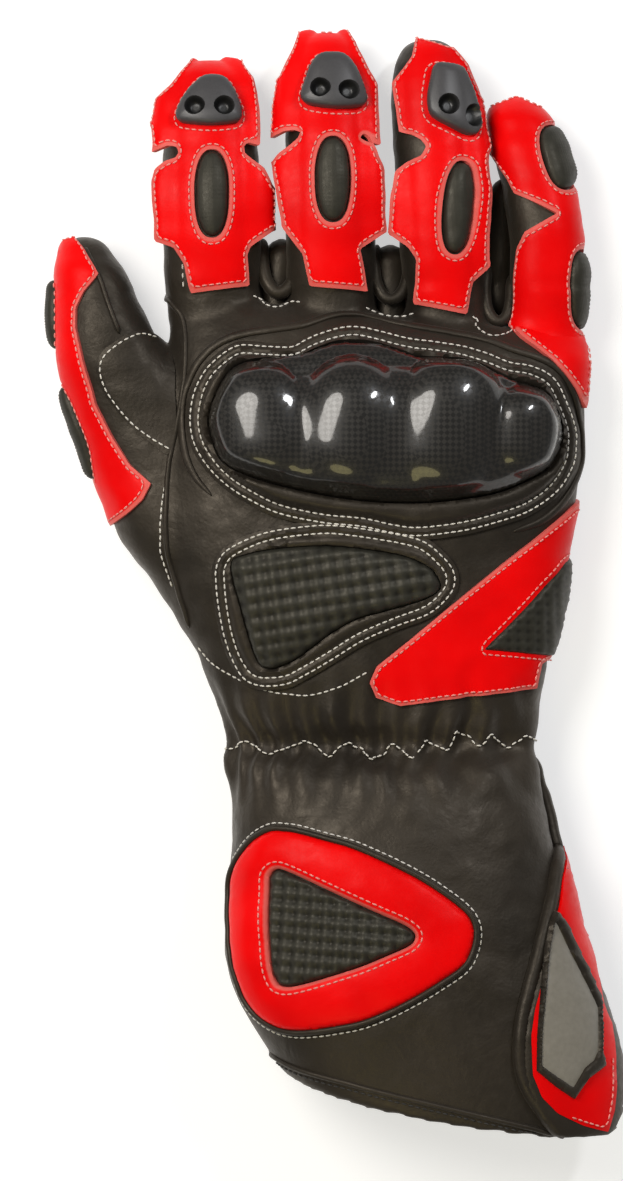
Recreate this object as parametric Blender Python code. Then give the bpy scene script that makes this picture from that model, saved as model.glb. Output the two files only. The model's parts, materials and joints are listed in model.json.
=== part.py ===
"""Leather motorcycle glove for the right hand, lying palm down with its cuff open.

X runs from the thumb to the little finger, Y from the cuff to the fingertips and Z up from the surface
that the glove lies on. The origin is on the flat of the palm. All sizes are in metres.

Every soft part is a tube lofted through a short table of sections. A section is an oval that stands on
a line from its left end to its right end in plan, with a bottom, a waist and a top. Tables hold shares
of the named sizes above them. Trims lie on the tubes, raised by SEAT, and what lies on a trim is raised
again. The hand and the cuff are lofted to PALM_FLAT below the floor and pressed flat there.
"""

import math
from collections import namedtuple

import bmesh
import bpy
from mathutils import Vector

# Driving sizes
HAND_LENGTH = 0.129
HAND_WIDTH = 0.121
HAND_THICKNESS = 0.038
WRIST_TO_ORIGIN = 0.045
CUFF_LENGTH = 0.106
CUFF_WIDTH = 0.102
CUFF_THICKNESS = 0.050
HEM_LENGTH = 0.010
THUMB_LENGTH = 0.134
THUMB_START = 0.0125
THUMB_THICKNESS = 0.027
LEATHER = 0.0020
PALM_FLAT = 0.0020
HEM_FOLD = 0.0008
OVERLAY = 0.0013
FIT = 0.0004
SEAT = 0.0013
STACK = 0.0006
ON_OVERLAY = SEAT + OVERLAY + FIT
GATHER_DEPTH = 0.0015
GATHER_REACH = 0.0095
GATHER_FOLDS = 8

# How square the ovals are, and how many flats each has
OVAL_POWER = 2.35
HAND_SIDES = 32
FINGER_SIDES = 16
LINING_SIDES = 16
FINGER_LINING_SIDES = 10
BELOW_FLOOR = 0.001
SIDE_WRAP = 0.62

Section = namedtuple("Section", "left_x left_y right_x right_y bottom waist top lean gather")
HandRow = namedtuple("HandRow", "along left right slant waist top")
CuffRow = namedtuple("CuffRow", "left left_along right right_along waist top lean")
ThumbRow = namedtuple("ThumbRow", "along left right bottom top")
FingerRow = namedtuple("FingerRow", "along width bottom top")
Finger = namedtuple("Finger", "name root_x root_y length lean bow width thickness")
StripRow = namedtuple("StripRow", "along left right")
PlanRow = namedtuple("PlanRow", "down left right")
Oval = namedtuple("Oval", "name place half_length turn half_turn height")
SliderRow = namedtuple("SliderRow", "forward half_turn")
Lobe = namedtuple("Lobe", "place width height")

# Along the hand from the wrist, its two edges as shares of its width, how far its right edge lags
# behind its left edge, its waist and its top.
HAND_ROWS = [
    HandRow(0.000, -0.345, 0.372, 0.000, 0.44, 0.84),
    HandRow(0.050, -0.362, 0.388, 0.000, 0.44, 0.92),
    HandRow(0.200, -0.425, 0.418, 0.000, 0.45, 0.96),
    HandRow(0.320, -0.500, 0.446, 0.000, 0.45, 0.99),
    HandRow(0.440, -0.530, 0.463, 0.000, 0.45, 1.00),
    HandRow(0.560, -0.535, 0.486, 0.000, 0.45, 1.00),
    HandRow(0.680, -0.525, 0.505, 0.010, 0.45, 1.00),
    HandRow(0.790, -0.505, 0.509, 0.030, 0.44, 0.98),
    HandRow(0.890, -0.495, 0.511, 0.055, 0.42, 0.90),
    HandRow(0.960, -0.490, 0.507, 0.075, 0.40, 0.80),
    HandRow(1.000, -0.475, 0.496, 0.085, 0.37, 0.68),
    HandRow(1.018, -0.452, 0.464, 0.090, 0.34, 0.54),
]

# Down the cuff from the wrist. Its two edges run down at different rates, because it leans outwards, and
# its upper side runs further than its edges by the last column.
CUFF_ROWS = [
    CuffRow(-0.409, 0.000, 0.441, 0.000, 0.34, 0.64, 0.000),
    CuffRow(-0.418, 0.070, 0.462, 0.070, 0.36, 0.76, 0.000),
    CuffRow(-0.408, 0.170, 0.482, 0.160, 0.38, 0.84, 0.000),
    CuffRow(-0.412, 0.330, 0.510, 0.290, 0.40, 0.92, 0.000),
    CuffRow(-0.424, 0.480, 0.552, 0.450, 0.42, 0.97, 0.000),
    CuffRow(-0.424, 0.590, 0.612, 0.630, 0.43, 1.00, 0.012),
    CuffRow(-0.398, 0.680, 0.660, 0.785, 0.44, 1.00, 0.024),
    CuffRow(-0.342, 0.770, 0.692, 0.915, 0.44, 0.99, 0.052),
    CuffRow(-0.272, 0.870, 0.688, 1.030, 0.44, 0.97, 0.075),
]

# Up the thumb from the wrist, with its edges as shares of its length. Its root lies inside the hand.
THUMB_ROWS = [
    ThumbRow(0.000, -0.300, -0.140, 0.12, 0.96),
    ThumbRow(0.060, -0.345, -0.140, 0.02, 1.02),
    ThumbRow(0.150, -0.408, -0.150, -0.02, 1.06),
    ThumbRow(0.245, -0.476, -0.165, -0.02, 1.08),
    ThumbRow(0.340, -0.545, -0.190, -0.02, 1.08),
    ThumbRow(0.430, -0.582, -0.225, -0.02, 1.06),
    ThumbRow(0.520, -0.614, -0.260, -0.02, 1.02),
    ThumbRow(0.610, -0.645, -0.300, 0.00, 1.00),
    ThumbRow(0.695, -0.672, -0.390, 0.02, 1.00),
    ThumbRow(0.780, -0.688, -0.466, 0.04, 1.00),
    ThumbRow(0.860, -0.692, -0.505, 0.05, 0.94),
    ThumbRow(0.920, -0.686, -0.540, 0.06, 0.84),
    ThumbRow(0.965, -0.674, -0.575, 0.10, 0.70),
    ThumbRow(0.990, -0.658, -0.610, 0.20, 0.54),
]

# Along a finger from the crotch, its width, and its underside and top as shares of its thickness.
FINGER_ROWS = [
    FingerRow(-0.200, 0.76, 0.12, 0.96),
    FingerRow(0.000, 0.96, 0.04, 1.03),
    FingerRow(0.200, 1.00, 0.08, 1.11),
    FingerRow(0.400, 1.00, 0.13, 1.15),
    FingerRow(0.580, 0.98, 0.09, 1.07),
    FingerRow(0.740, 0.95, 0.02, 0.96),
    FingerRow(0.860, 0.87, -0.02, 0.85),
    FingerRow(0.945, 0.70, 0.02, 0.71),
    FingerRow(0.988, 0.42, 0.12, 0.54),
]
TIP_HEIGHT = 0.32

FINGERS = [
    Finger("index", -0.0471, 0.0840, 0.0700, -1.0, 0.000, 0.0288, 0.024),
    Finger("middle", -0.0125, 0.0835, 0.0785, -1.0, 0.000, 0.0264, 0.025),
    Finger("ring", 0.0210, 0.0800, 0.0817, -4.2, 0.000, 0.0244, 0.024),
    Finger("little", 0.0492, 0.0735, 0.0705, -7.6, 0.0042, 0.0206, 0.022),
]

# Leather overlays on the fingers: turns from the top of the finger, in degrees, left and right.
INDEX_OVERLAY = [
    StripRow(0.040, -36, 38),
    StripRow(0.150, -46, 42),
    StripRow(0.230, -88, 66),
    StripRow(0.275, -90, 90),
    StripRow(0.400, -90, 90),
    StripRow(0.520, -90, 90),
    StripRow(0.570, -90, 88),
    StripRow(0.610, -66, 66),
    StripRow(0.650, -66, 66),
    StripRow(0.680, -90, 90),
    StripRow(0.800, -90, 90),
    StripRow(0.860, -90, 90),
    StripRow(0.930, -70, 70),
    StripRow(0.968, -50, 50),
    StripRow(0.994, -30, 30),
]
MIDDLE_OVERLAY = [
    StripRow(0.045, -38, 42),
    StripRow(0.110, -44, 44),
    StripRow(0.185, -60, 56),
    StripRow(0.235, -90, 86),
    StripRow(0.290, -90, 90),
    StripRow(0.400, -90, 90),
    StripRow(0.480, -90, 90),
    StripRow(0.530, -90, 90),
    StripRow(0.590, -62, 62),
    StripRow(0.630, -90, 90),
    StripRow(0.700, -90, 90),
    StripRow(0.800, -90, 90),
    StripRow(0.900, -78, 76),
    StripRow(0.968, -56, 56),
    StripRow(0.994, -34, 34),
]
RING_OVERLAY = [
    StripRow(0.010, -44, 58),
    StripRow(0.120, -50, 66),
    StripRow(0.200, -76, 90),
    StripRow(0.260, -90, 90),
    StripRow(0.400, -90, 90),
    StripRow(0.520, -90, 90),
    StripRow(0.570, -74, 90),
    StripRow(0.605, -36, 90),
    StripRow(0.645, -60, 90),
    StripRow(0.700, -90, 90),
    StripRow(0.800, -84, 90),
    StripRow(0.870, -62, 90),
    StripRow(0.940, -30, 76),
    StripRow(0.975, -20, 50),
    StripRow(0.996, -10, 36),
]
LITTLE_OVERLAY = [
    StripRow(0.030, -60, 104),
    StripRow(0.100, -66, 106),
    StripRow(0.200, -66, 108),
    StripRow(0.330, -60, 108),
    StripRow(0.440, -48, 108),
    StripRow(0.510, -8, 106),
    StripRow(0.570, 16, 104),
    StripRow(0.620, -14, 102),
    StripRow(0.740, -56, 100),
    StripRow(0.850, -80, 98),
    StripRow(0.930, -88, 84),
    StripRow(0.972, -70, 64),
    StripRow(0.994, -50, 50),
]
# The little finger's overlay runs on over the edge of the hand. Rows run down from the top at its Y.
LITTLE_ROOT_WIDTH = 0.0197
LITTLE_ROOT_LENGTH = 0.0190
LITTLE_ROOT_X = 0.0513
LITTLE_ROOT_Y = 0.0718
LITTLE_ROOT_ROWS = [
    PlanRow(0.000, -0.450, 0.500),
    PlanRow(0.206, -0.230, 0.500),
    PlanRow(0.426, 0.010, 0.500),
    PlanRow(0.647, 0.200, 0.500),
    PlanRow(0.868, 0.350, 0.500),
    PlanRow(1.000, 0.420, 0.485),
]
THUMB_OVERLAY = [
    StripRow(0.365, -92, -62),
    StripRow(0.400, -112, -42),
    StripRow(0.500, -118, -50),
    StripRow(0.600, -118, -54),
    StripRow(0.700, -118, -50),
    StripRow(0.800, -118, -38),
    StripRow(0.890, -114, -18),
    StripRow(0.945, -100, 10),
    StripRow(0.978, -80, 20),
]
STRIP_COLUMNS = 8
SHEET_COLUMNS = 6

# Oval pads: place and half length along the finger or thumb, turn from its top and half turn, and height
OVALS = [
    Oval("index_pad", 0.430, 0.180, 0, 14, 0.0026),
    Oval("middle_pad", 0.445, 0.160, 0, 15, 0.0026),
    Oval("ring_pad", 0.430, 0.168, 22, 15, 0.0026),
    Oval("little_base_pad", 0.250, 0.165, 44, 18, 0.0022),
    Oval("little_tip_pad", 0.740, 0.135, 31, 23, 0.0022),
    Oval("thumb_base_pad", 0.600, 0.095, -84, 18, 0.0018),
    Oval("thumb_tip_pad", 0.825, 0.088, -88, 18, 0.0018),
]
OVAL_ROWS = 7
OVAL_COLUMNS = 3

# Hard sliders near the fingertips: how far forward, and the half turn there
SLIDER_PLACES = {"index": (0.858, 0), "middle": (0.828, 2), "ring": (0.800, 26)}
SLIDER_HALF_LENGTH = 0.0080
SLIDER_HEIGHT = 0.0036
SLIDER_ROWS = [
    SliderRow(-1.00, 22),
    SliderRow(-0.88, 29),
    SliderRow(-0.50, 29),
    SliderRow(0.00, 24),
    SliderRow(0.55, 17),
    SliderRow(0.88, 13),
    SliderRow(1.00, 8),
]
SLIDER_HOLE = 0.0026
SLIDER_HOLE_SIDES = 8
SLIDER_COLUMNS = 5
SLIDER_HOLE_TURN = 15
SLIDER_HOLE_BACK = 0.0042
SLIDER_FLOOR = 0.0012
THUMB_PATCH_WIDTH = 0.0186
THUMB_PATCH_LENGTH = 0.0296
THUMB_PATCH_X = -0.0705
THUMB_PATCH_Y = 0.0589
THUMB_PATCH_OUTLINE = [
    (-0.48, 0.28), (-0.25, 0.40), (0.12, 0.50), (0.41, 0.41), (0.50, 0.12), (0.48, -0.22), (0.41, -0.50),
    (0.12, -0.42), (-0.31, -0.11), (-0.47, 0.12),
]

# The hard knuckle guard and the leather roll sewn round it
GUARD_WIDTH = 0.0960
GUARD_LENGTH = 0.0455
GUARD_HEIGHT = 0.0125
GUARD_RIM = 0.0022
GUARD_X = 0.0026
GUARD_Y = 0.0473
GUARD_VALLEY = 0.42
GUARD_ROLL = 0.0060
GUARD_ROLL_HEIGHT = 0.0030
GUARD_OUTLINE = [
    (-0.500, 0.05), (-0.468, 0.25), (-0.422, 0.38), (-0.329, 0.43), (-0.237, 0.42), (-0.127, 0.50),
    (-0.017, 0.49), (0.095, 0.42), (0.254, 0.39), (0.355, 0.29), (0.445, 0.21), (0.500, -0.04),
    (0.451, -0.29), (0.332, -0.43), (0.095, -0.50), (-0.145, -0.46), (-0.381, -0.34), (-0.483, -0.17),
]
GUARD_LOBES = [
    Lobe(-0.341, 0.140, 0.92),
    Lobe(-0.113, 0.140, 1.00),
    Lobe(0.133, 0.140, 0.98),
    Lobe(0.373, 0.115, 0.80),
]

# The embossed pad on the back of the hand, below the knuckle guard
BACK_PAD_WIDTH = 0.0597
BACK_PAD_LENGTH = 0.0357
BACK_PAD_HEIGHT = 0.0034
BACK_PAD_X = -0.0119
BACK_PAD_Y = -0.0054
BACK_ROLL = 0.0040
BACK_ROLL_HEIGHT = 0.0018
BACK_PAD_OUTLINE = [
    (-0.50, 0.40), (-0.32, 0.48), (-0.02, 0.50), (0.29, 0.43), (0.46, 0.31), (0.50, 0.17), (0.42, 0.04),
    (0.25, -0.04), (0.10, -0.12), (-0.04, -0.26), (-0.17, -0.40), (-0.25, -0.50), (-0.36, -0.44),
    (-0.42, -0.21), (-0.47, 0.07),
]

# The red leather band that runs from the wrist up to the side of the hand, and the pad let into it
SIDE_BAND_WIDTH = 0.0580
SIDE_BAND_LENGTH = 0.0574
SIDE_BAND_X = 0.0290
SIDE_BAND_Y = 0.0247
SIDE_BAND_ROWS = [
    PlanRow(0.000, 0.455, 0.500),
    PlanRow(0.126, 0.350, 0.480),
    PlanRow(0.253, 0.185, 0.460),
    PlanRow(0.380, 0.035, 0.445),
    PlanRow(0.515, -0.135, 0.420),
    PlanRow(0.682, -0.340, 0.380),
    PlanRow(0.813, -0.495, 0.325),
    PlanRow(0.934, -0.500, 0.225),
    PlanRow(0.967, -0.480, 0.030),
    PlanRow(1.000, -0.425, -0.250),
]
SIDE_PAD_WIDTH = 0.0241
SIDE_PAD_LENGTH = 0.0270
SIDE_PAD_HEIGHT = 0.0012
SIDE_PAD_X = 0.0434
SIDE_PAD_Y = 0.0081
SIDE_PAD_ROWS = [
    PlanRow(0.000, 0.440, 0.488),
    PlanRow(0.140, 0.307, 0.512),
    PlanRow(0.300, 0.139, 0.500),
    PlanRow(0.540, -0.114, 0.452),
    PlanRow(0.750, -0.330, 0.404),
    PlanRow(0.935, -0.488, 0.343),
    PlanRow(1.000, -0.235, 0.295),
]

# The cuff's red ring with an embossed triangle in it
RING_WIDTH = 0.0670
RING_LENGTH = 0.0560
RING_X = -0.0062
RING_Y = -0.0976
RING_HEIGHT = 0.0016
RING_PIPING = 0.0016
RING_PIPING_HEIGHT = 0.0020
RING_OUTLINE = [
    (-0.50, 0.28), (-0.42, 0.42), (-0.32, 0.50), (-0.21, 0.48), (0.00, 0.42), (0.27, 0.26),
    (0.44, 0.12), (0.50, 0.00), (0.45, -0.17), (0.27, -0.32), (0.05, -0.45), (-0.18, -0.50),
    (-0.32, -0.48), (-0.42, -0.36), (-0.48, -0.20), (-0.50, 0.02),
]
TRIANGLE_WIDTH = 0.0400
TRIANGLE_LENGTH = 0.0328
TRIANGLE_X = -0.0101
TRIANGLE_Y = -0.0806
TRIANGLE_HEIGHT = 0.0026
TRIANGLE_GAP = 0.0012
TRIANGLE_ROWS = [
    PlanRow(0.000, -0.435, -0.362),
    PlanRow(0.053, -0.500, -0.283),
    PlanRow(0.195, -0.507, -0.065),
    PlanRow(0.336, -0.507, 0.174),
    PlanRow(0.478, -0.507, 0.420),
    PlanRow(0.584, -0.500, 0.500),
    PlanRow(0.726, -0.486, 0.355),
    PlanRow(0.850, -0.464, 0.160),
    PlanRow(0.947, -0.440, -0.087),
    PlanRow(1.000, -0.406, -0.268),
]

# The leaf-shaped closing tab at the cuff's outer edge, its red inset and its plate. Rows run down from the
# top of each at its Y, with its edges as shares of its width.
TAB_WIDTH = 0.0287
TAB_LENGTH = 0.0942
TAB_X = 0.0540
TAB_Y = -0.0595
TAB_HEIGHT = 0.0020
TAB_ROWS = [
    PlanRow(0.000, -0.177, -0.106),
    PlanRow(0.108, -0.106, -0.045),
    PlanRow(0.225, -0.136, 0.005),
    PlanRow(0.357, -0.217, 0.086),
    PlanRow(0.477, -0.328, 0.187),
    PlanRow(0.585, -0.419, 0.308),
    PlanRow(0.708, -0.480, 0.419),
    PlanRow(0.815, -0.480, 0.500),
    PlanRow(0.908, -0.379, 0.490),
    PlanRow(0.975, -0.167, 0.369),
    PlanRow(1.000, 0.015, 0.217),
]
INSET_WIDTH = 0.0229
INSET_LENGTH = 0.0719
INSET_X = 0.0545
INSET_Y = -0.0769
INSET_ROWS = [
    PlanRow(0.000, -0.127, -0.089),
    PlanRow(0.121, -0.152, 0.063),
    PlanRow(0.242, -0.215, 0.177),
    PlanRow(0.383, -0.329, 0.278),
    PlanRow(0.524, -0.430, 0.380),
    PlanRow(0.665, -0.494, 0.456),
    PlanRow(0.806, -0.494, 0.494),
    PlanRow(0.927, -0.354, 0.443),
    PlanRow(1.000, -0.038, 0.253),
]
PLATE_WIDTH = 0.0174
PLATE_LENGTH = 0.0412
PLATE_X = 0.0545
PLATE_Y = -0.0995
PLATE_HEIGHT = 0.0014
PLATE_ROWS = [
    PlanRow(0.000, -0.250, -0.200),
    PlanRow(0.155, -0.367, 0.050),
    PlanRow(0.331, -0.433, 0.317),
    PlanRow(0.507, -0.483, 0.467),
    PlanRow(0.683, -0.500, 0.500),
    PlanRow(0.880, -0.467, 0.400),
    PlanRow(1.000, -0.167, 0.167),
]

LOOP_POINTS = 26
BAND_STEPS = 3
SMALL_LOOP_POINTS = 14

BLACK_LEATHER = (0.012, 0.011, 0.011)
RED_LEATHER = (0.62, 0.008, 0.010)
CARBON = (0.010, 0.010, 0.012)
SLIDER_PLASTIC = (0.035, 0.035, 0.038)
PLATE_GREY = (0.20, 0.19, 0.16)


def material(name, colour, roughness, metallic=0.0):
    """A finish with one colour."""
    made = bpy.data.materials.new(name)
    made.use_nodes = True
    shader = made.node_tree.nodes["Principled BSDF"]
    shader.inputs["Base Color"].default_value = (*colour, 1.0)
    shader.inputs["Roughness"].default_value = roughness
    shader.inputs["Metallic"].default_value = metallic
    return made


def new_object(name, mesh_maker, finish):
    """An object whose mesh mesh_maker has drawn."""
    mesh = bpy.data.meshes.new(name)
    drawn = bmesh.new()
    mesh_maker(drawn)
    bmesh.ops.recalc_face_normals(drawn, faces=drawn.faces)
    drawn.to_mesh(mesh)
    drawn.free()
    mesh.shade_smooth()
    mesh.set_sharp_from_angle(angle=math.radians(50))
    made = bpy.data.objects.new(name, mesh)
    bpy.context.scene.collection.objects.link(made)
    if finish is not None:
        mesh.materials.append(finish)
    return made


def cutter(name, mesh_maker):
    """A helper that only cuts other objects."""
    made = new_object(name, mesh_maker, None)
    made.hide_render = True
    made.display_type = "WIRE"
    return made


def cut(piece, tool):
    """Cuts tool out of piece."""
    boolean = piece.modifiers.new(tool.name, "BOOLEAN")
    boolean.operation = "DIFFERENCE"
    boolean.solver = "EXACT"
    boolean.object = tool


def between(first, second, share):
    """The section that lies share of the way from first to second."""
    return Section(*(a + (b - a) * share for a, b in zip(first, second)))


def signed_power(value, power):
    return math.copysign(abs(value) ** power, value)


def gather_at(y):
    """How deep the wrist elastic folds the leather at y."""
    return GATHER_DEPTH * max(0.0, 1.0 - abs(y + WRIST_TO_ORIGIN) / GATHER_REACH)


class Tube:
    """A lofted tube. Places on it are a station, counted along its sections, and a turn in degrees
    from its top, positive towards its right edge."""

    def __init__(self, sections, tip=None):
        self.sections = sections
        self.tip = tip
        self.space = []

    def section(self, station):
        first = max(0, min(int(station), len(self.sections) - 2))
        return between(self.sections[first], self.sections[first + 1], station - first)

    def point(self, station, turn, lift=0.0, floor=0.0):
        """A point on the tube, lifted off it and held above the floor."""
        here = self.section(station)
        lift += here.gather * math.cos(math.radians(turn) * GATHER_FOLDS)
        left = Vector((here.left_x, here.left_y))
        right = Vector((here.right_x, here.right_y))
        half = (right - left) / 2
        half *= (half.length + lift) / half.length
        across = signed_power(math.sin(math.radians(turn)), 2 / OVAL_POWER)
        up = signed_power(math.cos(math.radians(turn)), 2 / OVAL_POWER)
        rise = (here.top - here.waist if up > 0 else here.waist - here.bottom) + lift
        place = (left + right) / 2 + half * across
        y = place.y + here.lean * max(0.0, up)
        return Vector((place.x, y, max(floor, here.waist + up * rise)))

    def station_at(self, share_across, y):
        """The station whose section passes y, that share of the way from its middle to its edge."""
        up = (1 - abs(share_across) ** OVAL_POWER) ** (1 / OVAL_POWER)
        lines = [
            (s.left_y + s.right_y) / 2 + share_across * (s.right_y - s.left_y) / 2 + s.lean * up
            for s in self.sections
        ]
        rising = 1 if lines[-1] > lines[0] else -1
        for index in range(len(lines) - 2):
            if rising * (y - lines[index + 1]) < 0:
                break
        else:
            index = len(lines) - 2
        return index + (y - lines[index]) / (lines[index + 1] - lines[index])

    def locate(self, x, y):
        """Station and turn of the point of the tube's upper side at x, y in plan. A point past the
        tube's edge in plan is carried on round its side."""
        share = 0.0
        for _ in range(6):
            station = self.station_at(share, y)
            here = self.section(station)
            middle = (here.left_x + here.right_x) / 2
            half = (here.right_x - here.left_x) / 2
            share = max(-1.0, min(1.0, (x - middle) / half))
        past = max(0.0, abs(x - middle) / half - 1.0)
        turn = math.degrees(math.asin(abs(share) ** (OVAL_POWER / 2)))
        turn += math.degrees(past * half / (SIDE_WRAP * (here.top - here.bottom)))
        return station, math.copysign(turn, share)

    def on_top(self, x, y, lift):
        station, turn = self.locate(x, y)
        return self.point(station, turn, lift)


def draw_tube(mesh, tube, sides, lift=0.0, floor=0.0, first=0.0, last=None):
    """Draws the tube as a closed solid between two stations, with a flat end or its tip."""
    last = len(tube.sections) - 1 if last is None else last
    stations = [first] + [s for s in range(len(tube.sections)) if first < s < last] + [last]
    turns = [360 * n / sides for n in range(sides)]
    rings = [[mesh.verts.new(tube.point(s, t, lift, floor)) for t in turns] for s in stations]
    for low, high in zip(rings, rings[1:]):
        for n in range(sides):
            m = (n + 1) % sides
            mesh.faces.new((low[n], low[m], high[m], high[n]))
    for ring, tip in ((rings[0], None), (rings[-1], tube.tip)):
        pole = mesh.verts.new(tip or sum((v.co for v in ring), Vector()) / sides)
        for n in range(sides):
            mesh.faces.new((ring[n], ring[(n + 1) % sides], pole))


def extended(sections, start, end):
    """Ungathered sections, with straight runs added before the first and after the last for a clean cut."""
    added = [section._replace(gather=0.0) for section in sections]
    if start:
        added.insert(0, shifted(added[0], start))
    if end:
        added.append(shifted(added[-1], end))
    return added


def shifted(section, distance):
    return section._replace(left_y=section.left_y + distance, right_y=section.right_y + distance)


def hand_tube():
    sections = []
    for row in HAND_ROWS:
        y = row.along * HAND_LENGTH - WRIST_TO_ORIGIN
        lag = row.slant * HAND_LENGTH
        sections.append(
            Section(
                row.left * HAND_WIDTH, y, row.right * HAND_WIDTH, y - lag,
                -PALM_FLAT, row.waist * HAND_THICKNESS, row.top * HAND_THICKNESS, 0.0,
                gather_at(y),
            )
        )
    return Tube(sections)


def cuff_tube():
    sections = []
    for row in CUFF_ROWS:
        sections.append(
            Section(
                row.left * CUFF_WIDTH, -WRIST_TO_ORIGIN - FIT - row.left_along * CUFF_LENGTH,
                row.right * CUFF_WIDTH, -WRIST_TO_ORIGIN - FIT - row.right_along * CUFF_LENGTH,
                -PALM_FLAT, row.waist * CUFF_THICKNESS, row.top * CUFF_THICKNESS, -row.lean * CUFF_LENGTH,
                gather_at(-WRIST_TO_ORIGIN - row.left_along * CUFF_LENGTH),
            )
        )
    return Tube(sections)


def thumb_tube(shorter=0.0):
    """The thumb, or its lining, which is shorter at the tip."""
    start = -WRIST_TO_ORIGIN + THUMB_START
    run = THUMB_LENGTH - shorter
    sections = []
    for row in THUMB_ROWS:
        y = start + row.along * run
        sections.append(
            Section(
                row.left * THUMB_LENGTH, y, row.right * THUMB_LENGTH, y,
                row.bottom * THUMB_THICKNESS, 0.5 * (row.bottom + row.top) * THUMB_THICKNESS,
                row.top * THUMB_THICKNESS, 0.0, 0.0,
            )
        )
    end = sections[-1]
    tip = Vector(((end.left_x + end.right_x) / 2, start + run, end.waist))
    return Tube(sections, tip)


def finger_tube(finger, shorter=0.0):
    """A finger, or its lining, which is shorter at the tip."""
    lean = math.radians(finger.lean)
    along = Vector((math.sin(lean), math.cos(lean)))
    side = Vector((along.y, -along.x))
    root = Vector((finger.root_x, finger.root_y))
    run = finger.length - shorter
    sections = []
    for row in FINGER_ROWS:
        middle = root + along * row.along * run
        middle += side * finger.bow * math.sin(math.pi * max(0.0, row.along))
        half = side * row.width * finger.width / 2
        sections.append(
            Section(
                *(middle - half), *(middle + half), row.bottom * finger.thickness,
                0.5 * (row.bottom + row.top) * finger.thickness, row.top * finger.thickness,
                0.0, 0.0,
            )
        )
    return Tube(sections, Vector((*(root + along * run), TIP_HEIGHT * finger.thickness)))


def along_rows(rows, along):
    """The station of a place along the piece whose rows are given."""
    for index in range(len(rows) - 2):
        if along < rows[index + 1].along:
            break
    else:
        index = len(rows) - 2
    return index + (along - rows[index].along) / (rows[index + 1].along - rows[index].along)


def smooth_loop(outline, width, length, x, y, count):
    """A closed smooth curve through the outline's points, scaled and placed in plan."""
    places = [Vector((x + px * width, y + py * length)) for px, py in outline]
    size = len(places)
    loop = []
    for n in range(count):
        spot = n * size / count
        index, share = int(spot), spot - int(spot)
        before, first, second, after = (places[(index + step) % size] for step in (-1, 0, 1, 2))
        pull_in, pull_out = (second - before) / 2, (after - first) / 2
        cubic = share * share * (3 - 2 * share)
        loop.append(
            first * (1 - cubic) + second * cubic
            + pull_in * share * (1 - share) ** 2 - pull_out * share * share * (1 - share)
        )
    return loop


def grown(loop, by):
    """The loop moved outwards in plan by a distance."""
    middle = sum(loop, Vector((0, 0))) / len(loop)
    made = []
    for n, place in enumerate(loop):
        tangent = (loop[(n + 1) % len(loop)] - loop[n - 1]).normalized()
        outward = Vector((tangent.y, -tangent.x))
        if outward.dot(place - middle) < 0:
            outward = -outward
        made.append(place + outward * by)
    return made


def draw_pad(mesh, tube, loop, lift, shares, height_at):
    """Draws a pad inside the loop: its underside lies on the tube, and its top rises by height_at."""
    middle = sum(loop, Vector((0, 0))) / len(loop)
    layers = []
    for raised in (False, True):
        rings = []
        for share in shares:
            ring = []
            for place in loop:
                spot = middle + (place - middle) * share
                rise = height_at(spot, share) if raised else 0.0
                ring.append(mesh.verts.new(tube.on_top(spot.x, spot.y, lift + rise)))
            rings.append(ring)
        rise = height_at(middle, 0.0) if raised else 0.0
        centre = mesh.verts.new(tube.on_top(middle.x, middle.y, lift + rise))
        count = len(loop)
        for outer, inner in zip(rings, rings[1:]):
            for n in range(count):
                m = (n + 1) % count
                mesh.faces.new((outer[n], outer[m], inner[m], inner[n]))
        for n in range(count):
            mesh.faces.new((rings[-1][n], rings[-1][(n + 1) % count], centre))
        layers.append(rings[0])
    under, over = layers
    for n in range(len(loop)):
        m = (n + 1) % len(loop)
        mesh.faces.new((under[n], under[m], over[m], over[n]))


def middle_of(loop):
    return sum(loop, Vector((0, 0))) / len(loop)


def towards(loop, spot):
    """The place where the line from the loop's middle to a spot crosses the loop."""
    middle = middle_of(loop)
    ray = spot - middle
    for first, second in zip(loop, loop[1:] + loop[:1]):
        edge = second - first
        cross = ray.x * edge.y - ray.y * edge.x
        if abs(cross) < 1e-12:
            continue
        start = first - middle
        reach = (start.x * edge.y - start.y * edge.x) / cross
        share = (start.x * ray.y - start.y * ray.x) / cross
        if reach > 0 and 0 <= share <= 1:
            return middle + ray * reach
    return spot


def draw_band(mesh, tube, inner, outer, lift, height):
    """Draws a flat leather band between two loops, its steps even round the tube."""
    rings = []
    for raised in (0.0, height):
        for step in range(BAND_STEPS + 1):
            ring = []
            for near, far in zip(inner, outer):
                first, second = Vector(tube.locate(*near)), Vector(tube.locate(*far))
                spot = first.lerp(second, step / BAND_STEPS)
                ring.append(mesh.verts.new(tube.point(*spot, lift + raised)))
            rings.append(ring)
    order = rings[: BAND_STEPS + 1] + rings[: BAND_STEPS : -1]
    join_rings(mesh, order)


def join_rings(mesh, rings):
    """Joins each ring of points to the next, and the last to the first."""
    for ring, following in zip(rings, rings[1:] + rings[:1]):
        for n in range(len(ring)):
            m = (n + 1) % len(ring)
            mesh.faces.new((ring[n], ring[m], following[m], following[n]))


def draw_roll(mesh, tube, inner, outer, lift, height):
    """Draws a padded roll between two loops, flat below and rounded above."""
    profile = [(0.0, 0.0), (0.0, 0.5), (0.4, 1.0), (0.8, 0.7), (1.0, 0.0)]
    rings = []
    for across, rise in profile:
        ring = []
        for near, far in zip(inner, outer):
            spot = near + (far - near) * across
            ring.append(mesh.verts.new(tube.on_top(spot.x, spot.y, lift + rise * height)))
        rings.append(ring)
    join_rings(mesh, rings)


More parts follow.
